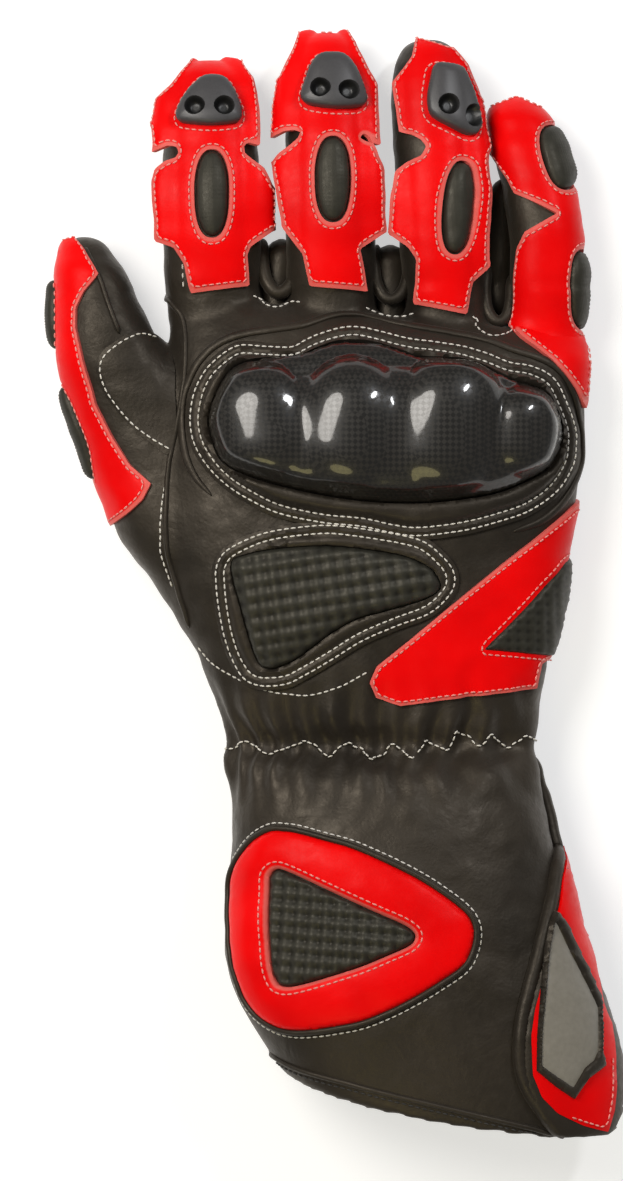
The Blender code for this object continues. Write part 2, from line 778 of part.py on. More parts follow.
def draw_strip(mesh, tube, rows, station_of, lift, thickness, columns=STRIP_COLUMNS):
    """Draws a leather strip that lies round the tube between a left and a right turn."""
    edges_at = [(station_of(row.along), row.left, row.right) for row in rows]
    for station in range(math.ceil(edges_at[0][0]), math.ceil(edges_at[-1][0])):
        if all(abs(station - at) > 0.12 for at, _, _ in edges_at):
            below = max(e for e in edges_at if e[0] < station)
            above = min(e for e in edges_at if e[0] > station)
            share = (station - below[0]) / (above[0] - below[0])
            edges_at.append((station, *(a + (b - a) * share for a, b in zip(below[1:], above[1:]))))
            edges_at.sort()
    close_sheet(mesh, columns, thickness, edges_at, lambda at, turn, up: tube.point(at, turn, lift + up))


def spans_of(rows, x, y, width, length):
    """Spans of y, left x and right x, from rows that are shares of a width and a length."""
    return [(y - row.down * length, x + row.left * width, x + row.right * width) for row in rows]


def draw_sheet(mesh, tube, spans, lift, thickness):
    """Draws a piece whose edges in plan are given by spans of y, left x and right x."""
    ends = [(y, Vector(tube.locate(left, y)), Vector(tube.locate(right, y))) for y, left, right in spans]
    close_sheet(mesh, SHEET_COLUMNS, thickness, ends, lambda _, spot, up: tube.point(*spot, lift + up))


def close_sheet(mesh, columns, thickness, spans, place):
    """Draws the closed solid between two grids of points, thickness apart."""
    grids = []
    for raised in (0.0, thickness):
        grid = []
        for at, left, right in spans:
            across = [left + (right - left) * n / columns for n in range(columns + 1)]
            grid.append([mesh.verts.new(place(at, spot, raised)) for spot in across])
        for low, high in zip(grid, grid[1:]):
            for n in range(columns):
                mesh.faces.new((low[n], low[n + 1], high[n + 1], high[n]))
        grids.append(grid)
    edges = []
    for grid in grids:
        left = [row[0] for row in grid]
        right = [row[-1] for row in grid]
        edges.append(grid[0] + right[1:] + grid[-1][-2::-1] + left[-2:0:-1])
    under, over = edges
    for n in range(len(under)):
        m = (n + 1) % len(under)
        mesh.faces.new((under[n], under[m], over[m], over[n]))


def domed(height, rim):
    """Height of a padded form: rim at its edge and height in its middle."""
    return lambda spot, share: rim + (height - rim) * (1 - share ** 2.6)


def guard_height(spot, share):
    """Height of the knuckle guard: a hard shell with one dome for each knuckle."""
    place = (spot.x - GUARD_X) / GUARD_WIDTH
    domes = max(
        lobe.height * math.exp(-(((place - lobe.place) / lobe.width) ** 4)) for lobe in GUARD_LOBES
    )
    crown = (1 - share ** 3) ** 0.7
    return GUARD_RIM + (GUARD_HEIGHT - GUARD_RIM) * crown * (1 - GUARD_VALLEY + GUARD_VALLEY * domes)


def clear_scene():
    for thing in list(bpy.data.objects):
        bpy.data.objects.remove(thing, do_unlink=True)


def build_shells(leather):
    """The glove's leather walls: hand, cuff, four fingers and thumb, hollow and open to each other."""
    hand = hand_tube()
    tubes = {"hand": hand, "cuff": cuff_tube(), "thumb": thumb_tube()}
    hand_lining = Tube(extended(hand.sections[:-1], -LEATHER, 0.0))
    hand_core = cutter(
        "hand_core", lambda m: draw_tube(m, hand_lining, LINING_SIDES, -LEATHER, LEATHER)
    )
    hand_space = cutter("hand_space", lambda m: draw_tube(m, hand, HAND_SIDES, FIT, -BELOW_FLOOR))
    hand.space = [hand_space]
    palm = new_object("hand", lambda m: draw_tube(m, hand, HAND_SIDES), leather)
    cut(palm, hand_core)
    for finger in FINGERS:
        outside = finger_tube(finger)
        tubes[finger.name] = outside
        inside = finger_tube(finger, LEATHER)
        floor = LEATHER + FIT
        core = cutter(
            finger.name + "_core",
            lambda m, t=inside, f=floor: draw_tube(m, t, FINGER_LINING_SIDES, -LEATHER, f),
        )
        shell = new_object(finger.name + "_finger", lambda m, t=outside: draw_tube(m, t, FINGER_SIDES), leather)
        cut(shell, core)
        cut(shell, hand_space)
        cut(palm, core)
    thumb_core = cutter(
        "thumb_core",
        lambda m: draw_tube(m, thumb_tube(LEATHER), FINGER_LINING_SIDES, -LEATHER, LEATHER + FIT),
    )
    thumb = new_object("thumb", lambda m: draw_tube(m, tubes["thumb"], FINGER_SIDES), leather)
    cut(thumb, thumb_core)
    cut(thumb, hand_space)
    cut(palm, thumb_core)
    return tubes


def build_cuff(leather, tubes):
    """The gauntlet cuff and the folded hem round its open end."""
    cuff = tubes["cuff"]
    lining = Tube(extended(cuff.sections, LEATHER, -HEM_LENGTH))
    core = cutter("cuff_core", lambda m: draw_tube(m, lining, LINING_SIDES, -LEATHER, LEATHER))
    fold = LEATHER + HEM_FOLD
    hem_core = cutter("hem_core", lambda m: draw_tube(m, lining, LINING_SIDES, -fold, fold))
    end = len(cuff.sections) - 1
    last = cuff.sections[-2:]
    run = abs(last[1].left_y - last[0].left_y)
    start = end - HEM_LENGTH / run
    wall = new_object(
        "cuff", lambda m: draw_tube(m, cuff, HAND_SIDES, last=start - FIT / run), leather
    )
    hem = new_object("cuff_hem", lambda m: draw_tube(m, cuff, HAND_SIDES, first=start), leather)
    cut(wall, core)
    cut(hem, hem_core)
    space = extended(cuff.sections, BELOW_FLOOR, -BELOW_FLOOR)
    cuff.space = [
        cutter("cuff_space", lambda m: draw_tube(m, Tube(space), HAND_SIDES, SEAT, -BELOW_FLOOR))
    ]


def build_finger_trims(tubes, red, embossed, plastic):
    """The red overlays on the fingers, with a padded oval and a hard slider on three of them."""
    overlays = {
        "index": INDEX_OVERLAY, "middle": MIDDLE_OVERLAY, "ring": RING_OVERLAY, "little": LITTLE_OVERLAY,
    }
    for finger in FINGERS:
        tube = tubes[finger.name]
        overlay = new_object(
            finger.name + "_overlay",
            lambda m, t=tube, rows=overlays[finger.name]: draw_strip(
                m, t, rows, lambda along: along_rows(FINGER_ROWS, along), SEAT, OVERLAY
            ),
            red,
        )
        seated(overlay, tubes["hand"])
        add_ovals(finger.name, tube, FINGER_ROWS, embossed)
        if finger.name in SLIDER_PLACES:
            add_slider(finger, tube, plastic)
    root = spans_of(LITTLE_ROOT_ROWS, LITTLE_ROOT_X, LITTLE_ROOT_Y, LITTLE_ROOT_WIDTH, LITTLE_ROOT_LENGTH)
    new_object("little_root", lambda m: draw_sheet(m, tubes["hand"], root, SEAT, OVERLAY), red)


def seated(piece, tube):
    """The piece, trimmed by the room that the tube's own wall takes up."""
    for space in tube.space:
        cut(piece, space)
    return piece


def add_pad(name, tube, loop, lift, height, finish):
    """A padded form, low at its rim."""
    shape = domed(height, height * 0.4)
    return seated(new_object(name, lambda m: draw_pad(m, tube, loop, lift, (1.0, 0.72), shape), finish), tube)


def add_slider(finger, tube, plastic):
    """A hard slider with two round holes near its base."""
    place, turn = SLIDER_PLACES[finger.name]
    rows = [
        StripRow(
            place + row.forward * SLIDER_HALF_LENGTH / finger.length, turn - row.half_turn,
            turn + row.half_turn,
        )
        for row in SLIDER_ROWS
    ]
    slider = new_object(
        finger.name + "_slider",
        lambda m: draw_strip(
            m, tube, rows, lambda along: along_rows(FINGER_ROWS, along), ON_OVERLAY, SLIDER_HEIGHT, SLIDER_COLUMNS
        ),
        plastic,
    )
    station = along_rows(FINGER_ROWS, place - SLIDER_HOLE_BACK / finger.length)
    for side in (-1, 1):
        base = tube.point(station, turn + side * SLIDER_HOLE_TURN, ON_OVERLAY + SLIDER_FLOOR)
        hole = cutter(
            f"{finger.name}_hole_{side}", lambda m, b=base: draw_cylinder(m, b, SLIDER_HOLE, 3 * SLIDER_HEIGHT)
        )
        cut(slider, hole)


def draw_cylinder(mesh, base, radius, height):
    """An upright round cutter."""
    rings = []
    for up in (0.0, height):
        ring = []
        for n in range(SLIDER_HOLE_SIDES):
            angle = 2 * math.pi * n / SLIDER_HOLE_SIDES
            ring.append(
                mesh.verts.new(base + Vector((radius * math.cos(angle), radius * math.sin(angle), up)))
            )
        rings.append(ring)
    for n in range(SLIDER_HOLE_SIDES):
        m = (n + 1) % SLIDER_HOLE_SIDES
        mesh.faces.new((rings[0][n], rings[0][m], rings[1][m], rings[1][n]))
    mesh.faces.new(rings[0])
    mesh.faces.new(rings[1])


def oval_rows(oval):
    """Rows of a strip with the outline of an oval."""
    rows = []
    for n in range(OVAL_ROWS):
        forward = -math.cos(math.pi * n / (OVAL_ROWS - 1)) * 0.99
        half = oval.half_turn * (1 - abs(forward) ** 2.6) ** 0.5
        rows.append(StripRow(oval.place + forward * oval.half_length, oval.turn - half, oval.turn + half))
    return rows


def add_ovals(carrier, tube, table, embossed):
    """The oval pads of one finger or of the thumb."""
    for oval in OVALS:
        if oval.name.startswith(carrier):
            new_object(
                oval.name,
                lambda m, rows=oval_rows(oval), height=oval.height: draw_strip(
                    m, tube, rows, lambda along: along_rows(table, along), ON_OVERLAY, height, OVAL_COLUMNS
                ),
                embossed,
            )


def build_thumb_trims(tubes, red, black, embossed):
    """The thumb's red overlay, the two pads on its outer side and the patch on its back."""
    tube = tubes["thumb"]
    new_object(
        "thumb_overlay",
        lambda m: draw_strip(
            m, tube, THUMB_OVERLAY, lambda along: along_rows(THUMB_ROWS, along), SEAT, OVERLAY
        ),
        red,
    )
    add_ovals("thumb", tube, THUMB_ROWS, embossed)
    patch = smooth_loop(
        THUMB_PATCH_OUTLINE, THUMB_PATCH_WIDTH, THUMB_PATCH_LENGTH, THUMB_PATCH_X, THUMB_PATCH_Y,
        SMALL_LOOP_POINTS,
    )
    add_flat("thumb_patch", tube, patch, SEAT, OVERLAY, black)


def build_back(tubes, red, black, embossed, carbon):
    """The knuckle guard, the embossed back pad and the red band on the back of the hand."""
    hand = tubes["hand"]
    guard = smooth_loop(GUARD_OUTLINE, GUARD_WIDTH, GUARD_LENGTH, GUARD_X, GUARD_Y, LOOP_POINTS)
    shell = new_object(
        "knuckle_guard",
        lambda m: draw_pad(m, hand, guard, SEAT, (1.0, 0.93, 0.8, 0.6, 0.35), guard_height),
        carbon,
    )
    seated(shell, hand)
    add_roll("knuckle_roll", hand, guard, GUARD_ROLL, GUARD_ROLL_HEIGHT, black)
    pad = smooth_loop(
        BACK_PAD_OUTLINE, BACK_PAD_WIDTH, BACK_PAD_LENGTH, BACK_PAD_X, BACK_PAD_Y, LOOP_POINTS
    )
    add_pad("back_pad", hand, pad, SEAT, BACK_PAD_HEIGHT, embossed)
    add_roll("back_roll", hand, pad, BACK_ROLL, BACK_ROLL_HEIGHT, black)

    band = spans_of(SIDE_BAND_ROWS, SIDE_BAND_X, SIDE_BAND_Y, SIDE_BAND_WIDTH, SIDE_BAND_LENGTH)
    new_object("side_band", lambda m: draw_sheet(m, hand, band, SEAT, OVERLAY), red)
    spans = spans_of(SIDE_PAD_ROWS, SIDE_PAD_X, SIDE_PAD_Y, SIDE_PAD_WIDTH, SIDE_PAD_LENGTH)
    new_object(
        "side_pad", lambda m: draw_sheet(m, hand, spans, ON_OVERLAY + FIT, SIDE_PAD_HEIGHT), embossed
    )


def build_cuff_trims(tubes, red, black, embossed, grey):
    """The red ring and its triangle on the cuff, and the closing tab with its inset and plate."""
    cuff = tubes["cuff"]
    ring = smooth_loop(RING_OUTLINE, RING_WIDTH, RING_LENGTH, RING_X, RING_Y, LOOP_POINTS)
    spans = spans_of(TRIANGLE_ROWS, TRIANGLE_X, TRIANGLE_Y, TRIANGLE_WIDTH, TRIANGLE_LENGTH)
    triangle = [Vector((left, y)) for y, left, _ in spans] + [Vector((x, y)) for y, _, x in spans[::-1]]
    inner = [towards(grown(triangle, TRIANGLE_GAP), spot) for spot in ring]
    new_object("cuff_ring", lambda m: draw_band(m, cuff, inner, ring, SEAT, RING_HEIGHT), red)
    add_roll("cuff_piping", cuff, ring, RING_PIPING, RING_PIPING_HEIGHT, black)
    new_object(
        "cuff_triangle", lambda m: draw_sheet(m, cuff, spans, SEAT, TRIANGLE_HEIGHT), embossed
    )
    lift = SEAT
    for name, rows, width, length, x, y, height, finish in (
        ("tab", TAB_ROWS, TAB_WIDTH, TAB_LENGTH, TAB_X, TAB_Y, TAB_HEIGHT, black),
        ("tab_inset", INSET_ROWS, INSET_WIDTH, INSET_LENGTH, INSET_X, INSET_Y, OVERLAY, red),
        ("tab_plate", PLATE_ROWS, PLATE_WIDTH, PLATE_LENGTH, PLATE_X, PLATE_Y, PLATE_HEIGHT, grey),
    ):
        across = spans_of(rows, x, y, width, length)
        new_object(
            name, lambda m, at=across, up=lift, by=height: draw_sheet(m, cuff, at, up, by), finish
        )
        lift += height + STACK


def add_flat(name, tube, loop, lift, height, finish):
    """A flat piece of leather or plastic of one height inside the loop."""
    flat = new_object(
        name, lambda m: draw_pad(m, tube, loop, lift, (1.0, 0.66, 0.33), lambda spot, share: height), finish
    )
    return seated(flat, tube)


def add_roll(name, tube, loop, width, height, finish):
    inner, outer = grown(loop, FIT), grown(loop, FIT + width)
    return new_object(name, lambda m: draw_roll(m, tube, inner, outer, SEAT, height), finish)


clear_scene()
black = material("black_leather", BLACK_LEATHER, 0.48)
red = material("red_leather", RED_LEATHER, 0.38)
carbon = material("carbon_shell", CARBON, 0.08)
plastic = material("slider_plastic", SLIDER_PLASTIC, 0.40)
embossed = material("embossed_leather", BLACK_LEATHER, 0.42)
grey = material("plate_grey", PLATE_GREY, 0.45)
tubes = build_shells(black)
build_cuff(black, tubes)
build_finger_trims(tubes, red, embossed, plastic)
build_thumb_trims(tubes, red, black, embossed)
build_back(tubes, red, black, embossed, carbon)
build_cuff_trims(tubes, red, black, embossed, grey)
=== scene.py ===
# %% [markdown]
# # A leather motorcycle glove, dressed around its CAD frame
# The real glove is sewn from many flat cuts of leather, closed into tubes for the hand, the cuff, the fingers
# and the thumb. The CAD frame holds those tubes as plain solids. This lesson builds the leather over them:
# one soft black skin first, and then each cut, pad, shell and row of stitches in the order of the sewing.

# %% Load the frame
import json
import math
from collections import namedtuple

import bmesh
import bpy
import numpy as np
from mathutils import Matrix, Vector, noise
from mathutils.bvhtree import BVHTree
from mathutils.geometry import delaunay_2d_cdt

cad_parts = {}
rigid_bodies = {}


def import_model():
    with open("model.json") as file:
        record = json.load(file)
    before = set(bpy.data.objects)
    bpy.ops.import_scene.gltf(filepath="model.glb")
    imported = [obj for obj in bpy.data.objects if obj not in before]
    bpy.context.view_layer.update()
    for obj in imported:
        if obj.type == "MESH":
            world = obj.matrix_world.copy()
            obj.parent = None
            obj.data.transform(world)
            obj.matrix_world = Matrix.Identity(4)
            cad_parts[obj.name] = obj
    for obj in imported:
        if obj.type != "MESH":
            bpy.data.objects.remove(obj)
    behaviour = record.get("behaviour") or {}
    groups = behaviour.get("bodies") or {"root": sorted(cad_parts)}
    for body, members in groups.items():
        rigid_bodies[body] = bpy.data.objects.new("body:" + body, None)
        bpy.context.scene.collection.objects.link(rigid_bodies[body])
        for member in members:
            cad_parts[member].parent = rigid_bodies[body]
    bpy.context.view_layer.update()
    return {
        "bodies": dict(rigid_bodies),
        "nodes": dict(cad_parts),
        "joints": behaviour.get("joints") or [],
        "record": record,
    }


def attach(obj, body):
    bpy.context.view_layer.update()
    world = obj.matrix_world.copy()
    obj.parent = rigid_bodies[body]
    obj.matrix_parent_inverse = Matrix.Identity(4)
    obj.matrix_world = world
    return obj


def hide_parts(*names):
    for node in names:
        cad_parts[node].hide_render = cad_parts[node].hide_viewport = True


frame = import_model()

# %% [markdown]
# The photograph looks straight down on the back of the hand. Every outline below is written in the
# photograph's own pixels, because that is how it was read, and one function turns a pixel into metres.
# The scale is the CAD model's, 0.29 mm a pixel, with the origin at the middle of the back of the hand.

# %% Pixels to metres
PHOTO_WIDTH, PHOTO_HEIGHT = 623, 1181
PIXEL = 0.00029
ORIGIN_PIXEL = (375, 590)
OUTLINE_STEP = 0.0006


def plan(px, py):
    return Vector(((px - ORIGIN_PIXEL[0]) * PIXEL, (ORIGIN_PIXEL[1] - py) * PIXEL))


def outline(pixels):
    return [plan(*pixel) for pixel in pixels]


def as_array(places):
    return np.array([tuple(p) for p in places])


def between(a, b, c, d, t):
    """A place on the smooth curve from b to c, which has a before it and d after it."""
    return 0.5 * (2 * b + (c - a) * t + (2 * a - 5 * b + 4 * c - d) * t * t + (3 * b - a - 3 * c + d) * t ** 3)


def even(points, spacing, closed=False):
    """The same path with its points an even distance apart."""
    steps = [0.0]
    for a, b in zip(points, points[1:]):
        steps.append(steps[-1] + (b - a).length)
    count = max(3 if closed else 1, round(steps[-1] / spacing))
    made, index = [], 0
    for n in range(count + (0 if closed else 1)):
        at = steps[-1] * n / count
        while index < len(steps) - 2 and steps[index + 1] < at:
            index += 1
        span = steps[index + 1] - steps[index]
        made.append(points[index].lerp(points[index + 1], (at - steps[index]) / span if span else 0.0))
    return made


def smooth_line(pixels, spacing, closed=False):
    """Points spaced evenly along a smooth curve through the pixels."""
    points = outline(pixels)
    count = len(points)
    pick = (lambda i: points[i % count]) if closed else (lambda i: points[max(0, min(count - 1, i))])
    fine = [
        between(pick(i - 1), pick(i), pick(i + 1), pick(i + 2), n / 12)
        for i in range(count if closed else count - 1) for n in range(12)
    ]
    return even(fine + [fine[0] if closed else points[-1]], spacing, closed)


def cornered(pixels):
    """A closed outline that keeps its corners, with even steps along each side."""
    points, made = outline(pixels), []
    for a, b in zip(points, points[1:] + points[:1]):
        count = max(1, round((b - a).length / OUTLINE_STEP))
        made += [a.lerp(b, n / count) for n in range(count)]
    return made


# %% [markdown]
# The tubes are lofted again here, from the sections of the CAD solids but with many more of them. A section
# is an oval on a line from its left end to its right end. The shapes have to agree closely, because each cut
# of leather lies on the solid that carries it, and only the tip of the thumb is a little longer here. A
# smooth curve through the sections takes away the flats that a light solid has.

# %% Sections
HAND_LENGTH, HAND_WIDTH, HAND_THICKNESS = 0.129, 0.121, 0.038
CUFF_LENGTH, CUFF_WIDTH, CUFF_THICKNESS = 0.106, 0.102, 0.050
THUMB_LENGTH, THUMB_THICKNESS, THUMB_START = 0.134, 0.027, 0.0125
WRIST = 0.045
OVAL_POWER, OVAL_GIRTH = 2.35, 1.62
SIDE_WRAP = 0.62
STEPS = 6

HAND = [
    (0.000, -0.345, 0.372, 0.000, 0.44, 0.84), (0.050, -0.362, 0.388, 0.000, 0.44, 0.92),
    (0.200, -0.425, 0.418, 0.000, 0.45, 0.96), (0.320, -0.500, 0.446, 0.000, 0.45, 0.99),
    (0.440, -0.530, 0.463, 0.000, 0.45, 1.00), (0.560, -0.535, 0.486, 0.000, 0.45, 1.00),
    (0.680, -0.525, 0.505, 0.010, 0.45, 1.00), (0.790, -0.505, 0.509, 0.030, 0.44, 0.98),
    (0.890, -0.495, 0.511, 0.055, 0.42, 0.90), (0.960, -0.490, 0.507, 0.075, 0.40, 0.80),
    (1.000, -0.475, 0.496, 0.085, 0.37, 0.68), (1.018, -0.452, 0.464, 0.090, 0.34, 0.54),
]
CUFF = [
    (-0.418, 0.070, 0.462, 0.070, 0.36, 0.76, 0.000), (-0.408, 0.170, 0.482, 0.160, 0.38, 0.84, 0.000),
    (-0.412, 0.330, 0.510, 0.290, 0.40, 0.92, 0.000), (-0.424, 0.480, 0.552, 0.450, 0.42, 0.97, 0.000),
    (-0.424, 0.590, 0.612, 0.630, 0.43, 1.00, 0.012), (-0.398, 0.680, 0.660, 0.785, 0.44, 1.00, 0.024),
    (-0.342, 0.770, 0.692, 0.915, 0.44, 0.99, 0.052), (-0.272, 0.870, 0.688, 1.030, 0.44, 0.97, 0.075),
]
THUMB = [
    (0.000, -0.300, -0.140, 0.12, 0.96), (0.060, -0.345, -0.140, 0.02, 1.02),
    (0.150, -0.408, -0.150, -0.02, 1.06), (0.245, -0.476, -0.165, -0.02, 1.08),
    (0.340, -0.545, -0.190, -0.02, 1.08), (0.430, -0.582, -0.225, -0.02, 1.06),
    (0.520, -0.614, -0.260, -0.02, 1.02), (0.610, -0.645, -0.300, 0.00, 1.00),
    (0.695, -0.672, -0.390, 0.02, 1.00), (0.780, -0.688, -0.466, 0.04, 1.00),
    (0.860, -0.692, -0.505, 0.05, 0.94), (0.925, -0.690, -0.536, 0.06, 0.86),
    (0.975, -0.684, -0.568, 0.10, 0.74), (1.004, -0.670, -0.596, 0.20, 0.58),
    (1.015, -0.645, -0.622, 0.34, 0.42),
]
FINGER = [
    (-0.200, 0.76, 0.12, 0.96), (0.000, 0.96, 0.04, 1.03), (0.200, 1.00, 0.08, 1.11),
    (0.400, 1.00, 0.13, 1.15), (0.580, 0.98, 0.09, 1.07), (0.740, 0.95, 0.02, 0.96),
    (0.860, 0.87, -0.02, 0.85), (0.945, 0.70, 0.02, 0.71), (0.988, 0.42, 0.12, 0.54),
    (1.000, 0.06, 0.29, 0.35),
]
Finger = namedtuple("Finger", "root_x root_y length lean bow width thickness")
FINGERS = {
    "index": Finger(-0.0471, 0.0840, 0.0700, -1.0, 0.0000, 0.0288, 0.024),
    "middle": Finger(-0.0125, 0.0835, 0.0785, -1.0, 0.0000, 0.0264, 0.025),
    "ring": Finger(0.0210, 0.0800, 0.0817, -4.2, 0.0000, 0.0244, 0.024),
    "little": Finger(0.0492, 0.0735, 0.0705, -7.6, 0.0042, 0.0206, 0.022),
}
PALM_FLAT = 0.002


def body_sections():
    """The cuff and the hand as one run, from the open end to the knuckles."""
    made = []
    for left, left_along, right, right_along, waist, top, lean in CUFF[::-1]:
        made.append((
            left * CUFF_WIDTH, -WRIST - left_along * CUFF_LENGTH, right * CUFF_WIDTH,
            -WRIST - right_along * CUFF_LENGTH, -PALM_FLAT, waist * CUFF_THICKNESS, top * CUFF_THICKNESS,
            -lean * CUFF_LENGTH,
        ))
    for along, left, right, slant, waist, top in HAND:
        y = along * HAND_LENGTH - WRIST
        made.append((
            left * HAND_WIDTH, y, right * HAND_WIDTH, y - slant * HAND_LENGTH, -PALM_FLAT,
            waist * HAND_THICKNESS, top * HAND_THICKNESS, 0.0,
        ))
    return made


def thumb_sections():
    made = []
    for along, left, right, bottom, top in THUMB:
        y = THUMB_START - WRIST + along * THUMB_LENGTH
        made.append((
            left * THUMB_LENGTH, y, right * THUMB_LENGTH, y, bottom * THUMB_THICKNESS,
            0.5 * (bottom + top) * THUMB_THICKNESS, top * THUMB_THICKNESS, 0.0,
        ))
    return made


def finger_sections(finger):
    lean = math.radians(finger.lean)
    along = Vector((math.sin(lean), math.cos(lean)))
    side = Vector((along.y, -along.x))
    made = []
    for share, width, bottom, top in FINGER:
        middle = Vector((finger.root_x, finger.root_y)) + along * share * finger.length
        middle += side * finger.bow * math.sin(math.pi * max(0.0, share))
        half = side * width * finger.width / 2
        made.append((
            *(middle - half), *(middle + half), bottom * finger.thickness,
            0.5 * (bottom + top) * finger.thickness, top * finger.thickness, 0.0,
        ))
    return made


# %% [markdown]
# A place on a tube is a station along it and a turn in degrees from its top. Points are worked out for many
# places at once with arrays, because the glove needs about a hundred thousand of them. Going the other way,
# from the photograph to the tube, a pixel that lies past the tube's edge is carried on round its side.

# %% Tubes
def signed_power(value):
    return np.sign(value) * np.abs(value) ** (2 / OVAL_POWER)


def refined(rows):
    """Sections on a smooth curve through the given ones."""
    padded = np.vstack([rows[0], rows, rows[-1]])
    made = [between(*padded[n:n + 4], step / STEPS) for n in range(len(rows) - 1) for step in range(STEPS)]
    return np.array(made + [padded[-1]])


class Tube:
    def __init__(self, rows):
        self.rows = refined(rows)
        self.last = len(self.rows) - 1
        middles = (self.rows[:, 0:2] + self.rows[:, 2:4]) / 2
        self.station_length = np.linalg.norm(np.diff(middles, axis=0), axis=1).sum() / self.last
        widths = np.abs(self.rows[:, 2] - self.rows[:, 0])
        heights = self.rows[:, 6] - self.rows[:, 4]
        self.turn_length = np.mean(np.sort(widths + heights)[self.last // 3:]) * OVAL_GIRTH / 360

    def at(self, station):
        station = np.clip(station, 0, self.last)
        index = np.minimum(station.astype(int), self.last - 1)
        share = (station - index)[:, None]
        return (self.rows[index] * (1 - share) + self.rows[index + 1] * share).T

    def points(self, station, turn, lift=0.0):
        left_x, left_y, right_x, right_y, bottom, waist, top, lean = self.at(station)
        across, up = signed_power(np.sin(np.radians(turn))), signed_power(np.cos(np.radians(turn)))
        half_x, half_y = (right_x - left_x) / 2, (right_y - left_y) / 2
        across = across * (1 + lift / np.hypot(half_x, half_y))
        rise = np.where(up > 0, top - waist, waist - bottom) + lift
        x = (left_x + right_x) / 2 + half_x * across
        y = (left_y + right_y) / 2 + half_y * across + lean * np.maximum(up, 0.0)
        return np.stack([x, y, waist + up * rise], axis=1)

    def normals(self, station, turn):
        station = np.clip(station, 0.5, self.last - 0.5)
        round_it = self.points(station, turn + 2) - self.points(station, turn - 2)
        along_it = self.points(station + 0.5, turn) - self.points(station - 0.5, turn)
        made = np.cross(round_it, along_it)
        made /= np.maximum(np.linalg.norm(made, axis=1), 1e-12)[:, None]
        left_x, left_y, right_x, right_y, _, waist, _, _ = self.at(station)
        middle = np.stack([(left_x + right_x) / 2, (left_y + right_y) / 2, waist], axis=1)
        out = np.sum(made * (self.points(station, turn) - middle), axis=1)
        return made * np.where(out < 0, -1.0, 1.0)[:, None]

    def locate(self, places):
        """Stations and turns of the points of the upper side at these places in plan."""
        x, y = places[:, 0], places[:, 1]
        share = np.zeros(len(places))
        for _ in range(7):
            up = (1 - np.abs(share) ** OVAL_POWER) ** (1 / OVAL_POWER)
            left_y, right_y, lean = self.rows[:, 1], self.rows[:, 3], self.rows[:, 7]
            lines = (left_y + right_y) / 2 + share[:, None] * (right_y - left_y) / 2 + lean * up[:, None]
            index = np.clip((lines <= y[:, None]).sum(axis=1) - 1, 0, self.last - 1)
            pick = np.arange(len(places))
            low, high = lines[pick, index], lines[pick, index + 1]
            station = np.clip(index + (y - low) / (high - low), 0, self.last)
            left_x, _, right_x, _, bottom, _, top, _ = self.at(station)
            middle, half = (left_x + right_x) / 2, (right_x - left_x) / 2
            share = np.clip((x - middle) / half, -1, 1)
        past = np.maximum(0.0, np.abs(x - middle) - half)
        turn = np.degrees(np.arcsin(np.abs(share) ** (OVAL_POWER / 2)))
        turn += np.degrees(past / (SIDE_WRAP * (top - bottom)))
        return station, np.copysign(turn, x - middle)


body = Tube(body_sections())
thumb = Tube(thumb_sections())
fingers = {name: Tube(finger_sections(finger)) for name, finger in FINGERS.items()}
print("stations:", body.last, thumb.last, {name: tube.last for name, tube in fingers.items()})

# %% [markdown]
# The skin is one mesh. On the real glove the leather runs on from the cuff over the hand into the fingers,
# and separate tubes would show a hard line where they cross. So the tubes are joined, and a voxel remesh
# melts them into one surface, which a few rounds of smoothing relax. The cuff is made as a cup, with an
# outer and an inner wall, so that the glove is really open where the hand goes in.

# %% Melt the tubes into one skin
SKIN_VOXEL = 0.0012
LEATHER = 0.0020
BODY_SIDES, FINGER_SIDES = 72, 40


def ring_points(tube, station, sides, lift=0.0):
    made = tube.points(np.full(sides, float(station)), np.arange(sides) * 360 / sides, lift)
    made[:, 2] = np.maximum(made[:, 2], max(0.0, -lift))
    return made


def loft(rings, closed=False):
    """Points and faces of a skin through the rings. It runs round, or it has a fan at each end."""
    sides, count = len(rings[0]), len(rings)
    pairs = [(n, (n + 1) % sides) for n in range(sides)]
    points, faces = np.vstack(rings), []
    for row in range(count if closed else count - 1):
        here, there = row * sides, (row + 1) % count * sides
        faces += [(here + n, here + m, there + m, there + n) for n, m in pairs]
    if not closed:
        top, first = (count - 1) * sides, len(points)
        for n, m in pairs:
            faces += [(m, n, first), (top + n, top + m, first + 1)]
        points = np.vstack([points, rings[0].mean(axis=0), rings[-1].mean(axis=0)])
    return points, faces


def glove_lofts():
    outer = [ring_points(body, station, BODY_SIDES) for station in range(body.last, -1, -1)]
    inner = [ring_points(body, station, BODY_SIDES, -LEATHER) for station in range(0, body.last - 4 * STEPS)]
    tubes = [thumb, *fingers.values()]
    return [loft(outer + inner)] + [
        loft([ring_points(tube, station, FINGER_SIDES) for station in range(tube.last + 1)]) for tube in tubes
    ]


def placed(name, data):
    """An object at the origin, in the scene."""
    made = bpy.data.objects.new(name, data)
    bpy.context.scene.collection.objects.link(made)
    return made


def mesh_object(name, points, faces, edges=()):
    """An object from points and faces, with its faces turned outwards."""
    mesh = bpy.data.meshes.new(name)
    mesh.from_pydata([tuple(p) for p in points], edges, [tuple(int(i) for i in f) for f in faces])
    if faces:
        worked = bmesh.new()
        worked.from_mesh(mesh)
        bmesh.ops.recalc_face_normals(worked, faces=worked.faces)
        worked.to_mesh(mesh)
        worked.free()
    return placed(name, mesh)


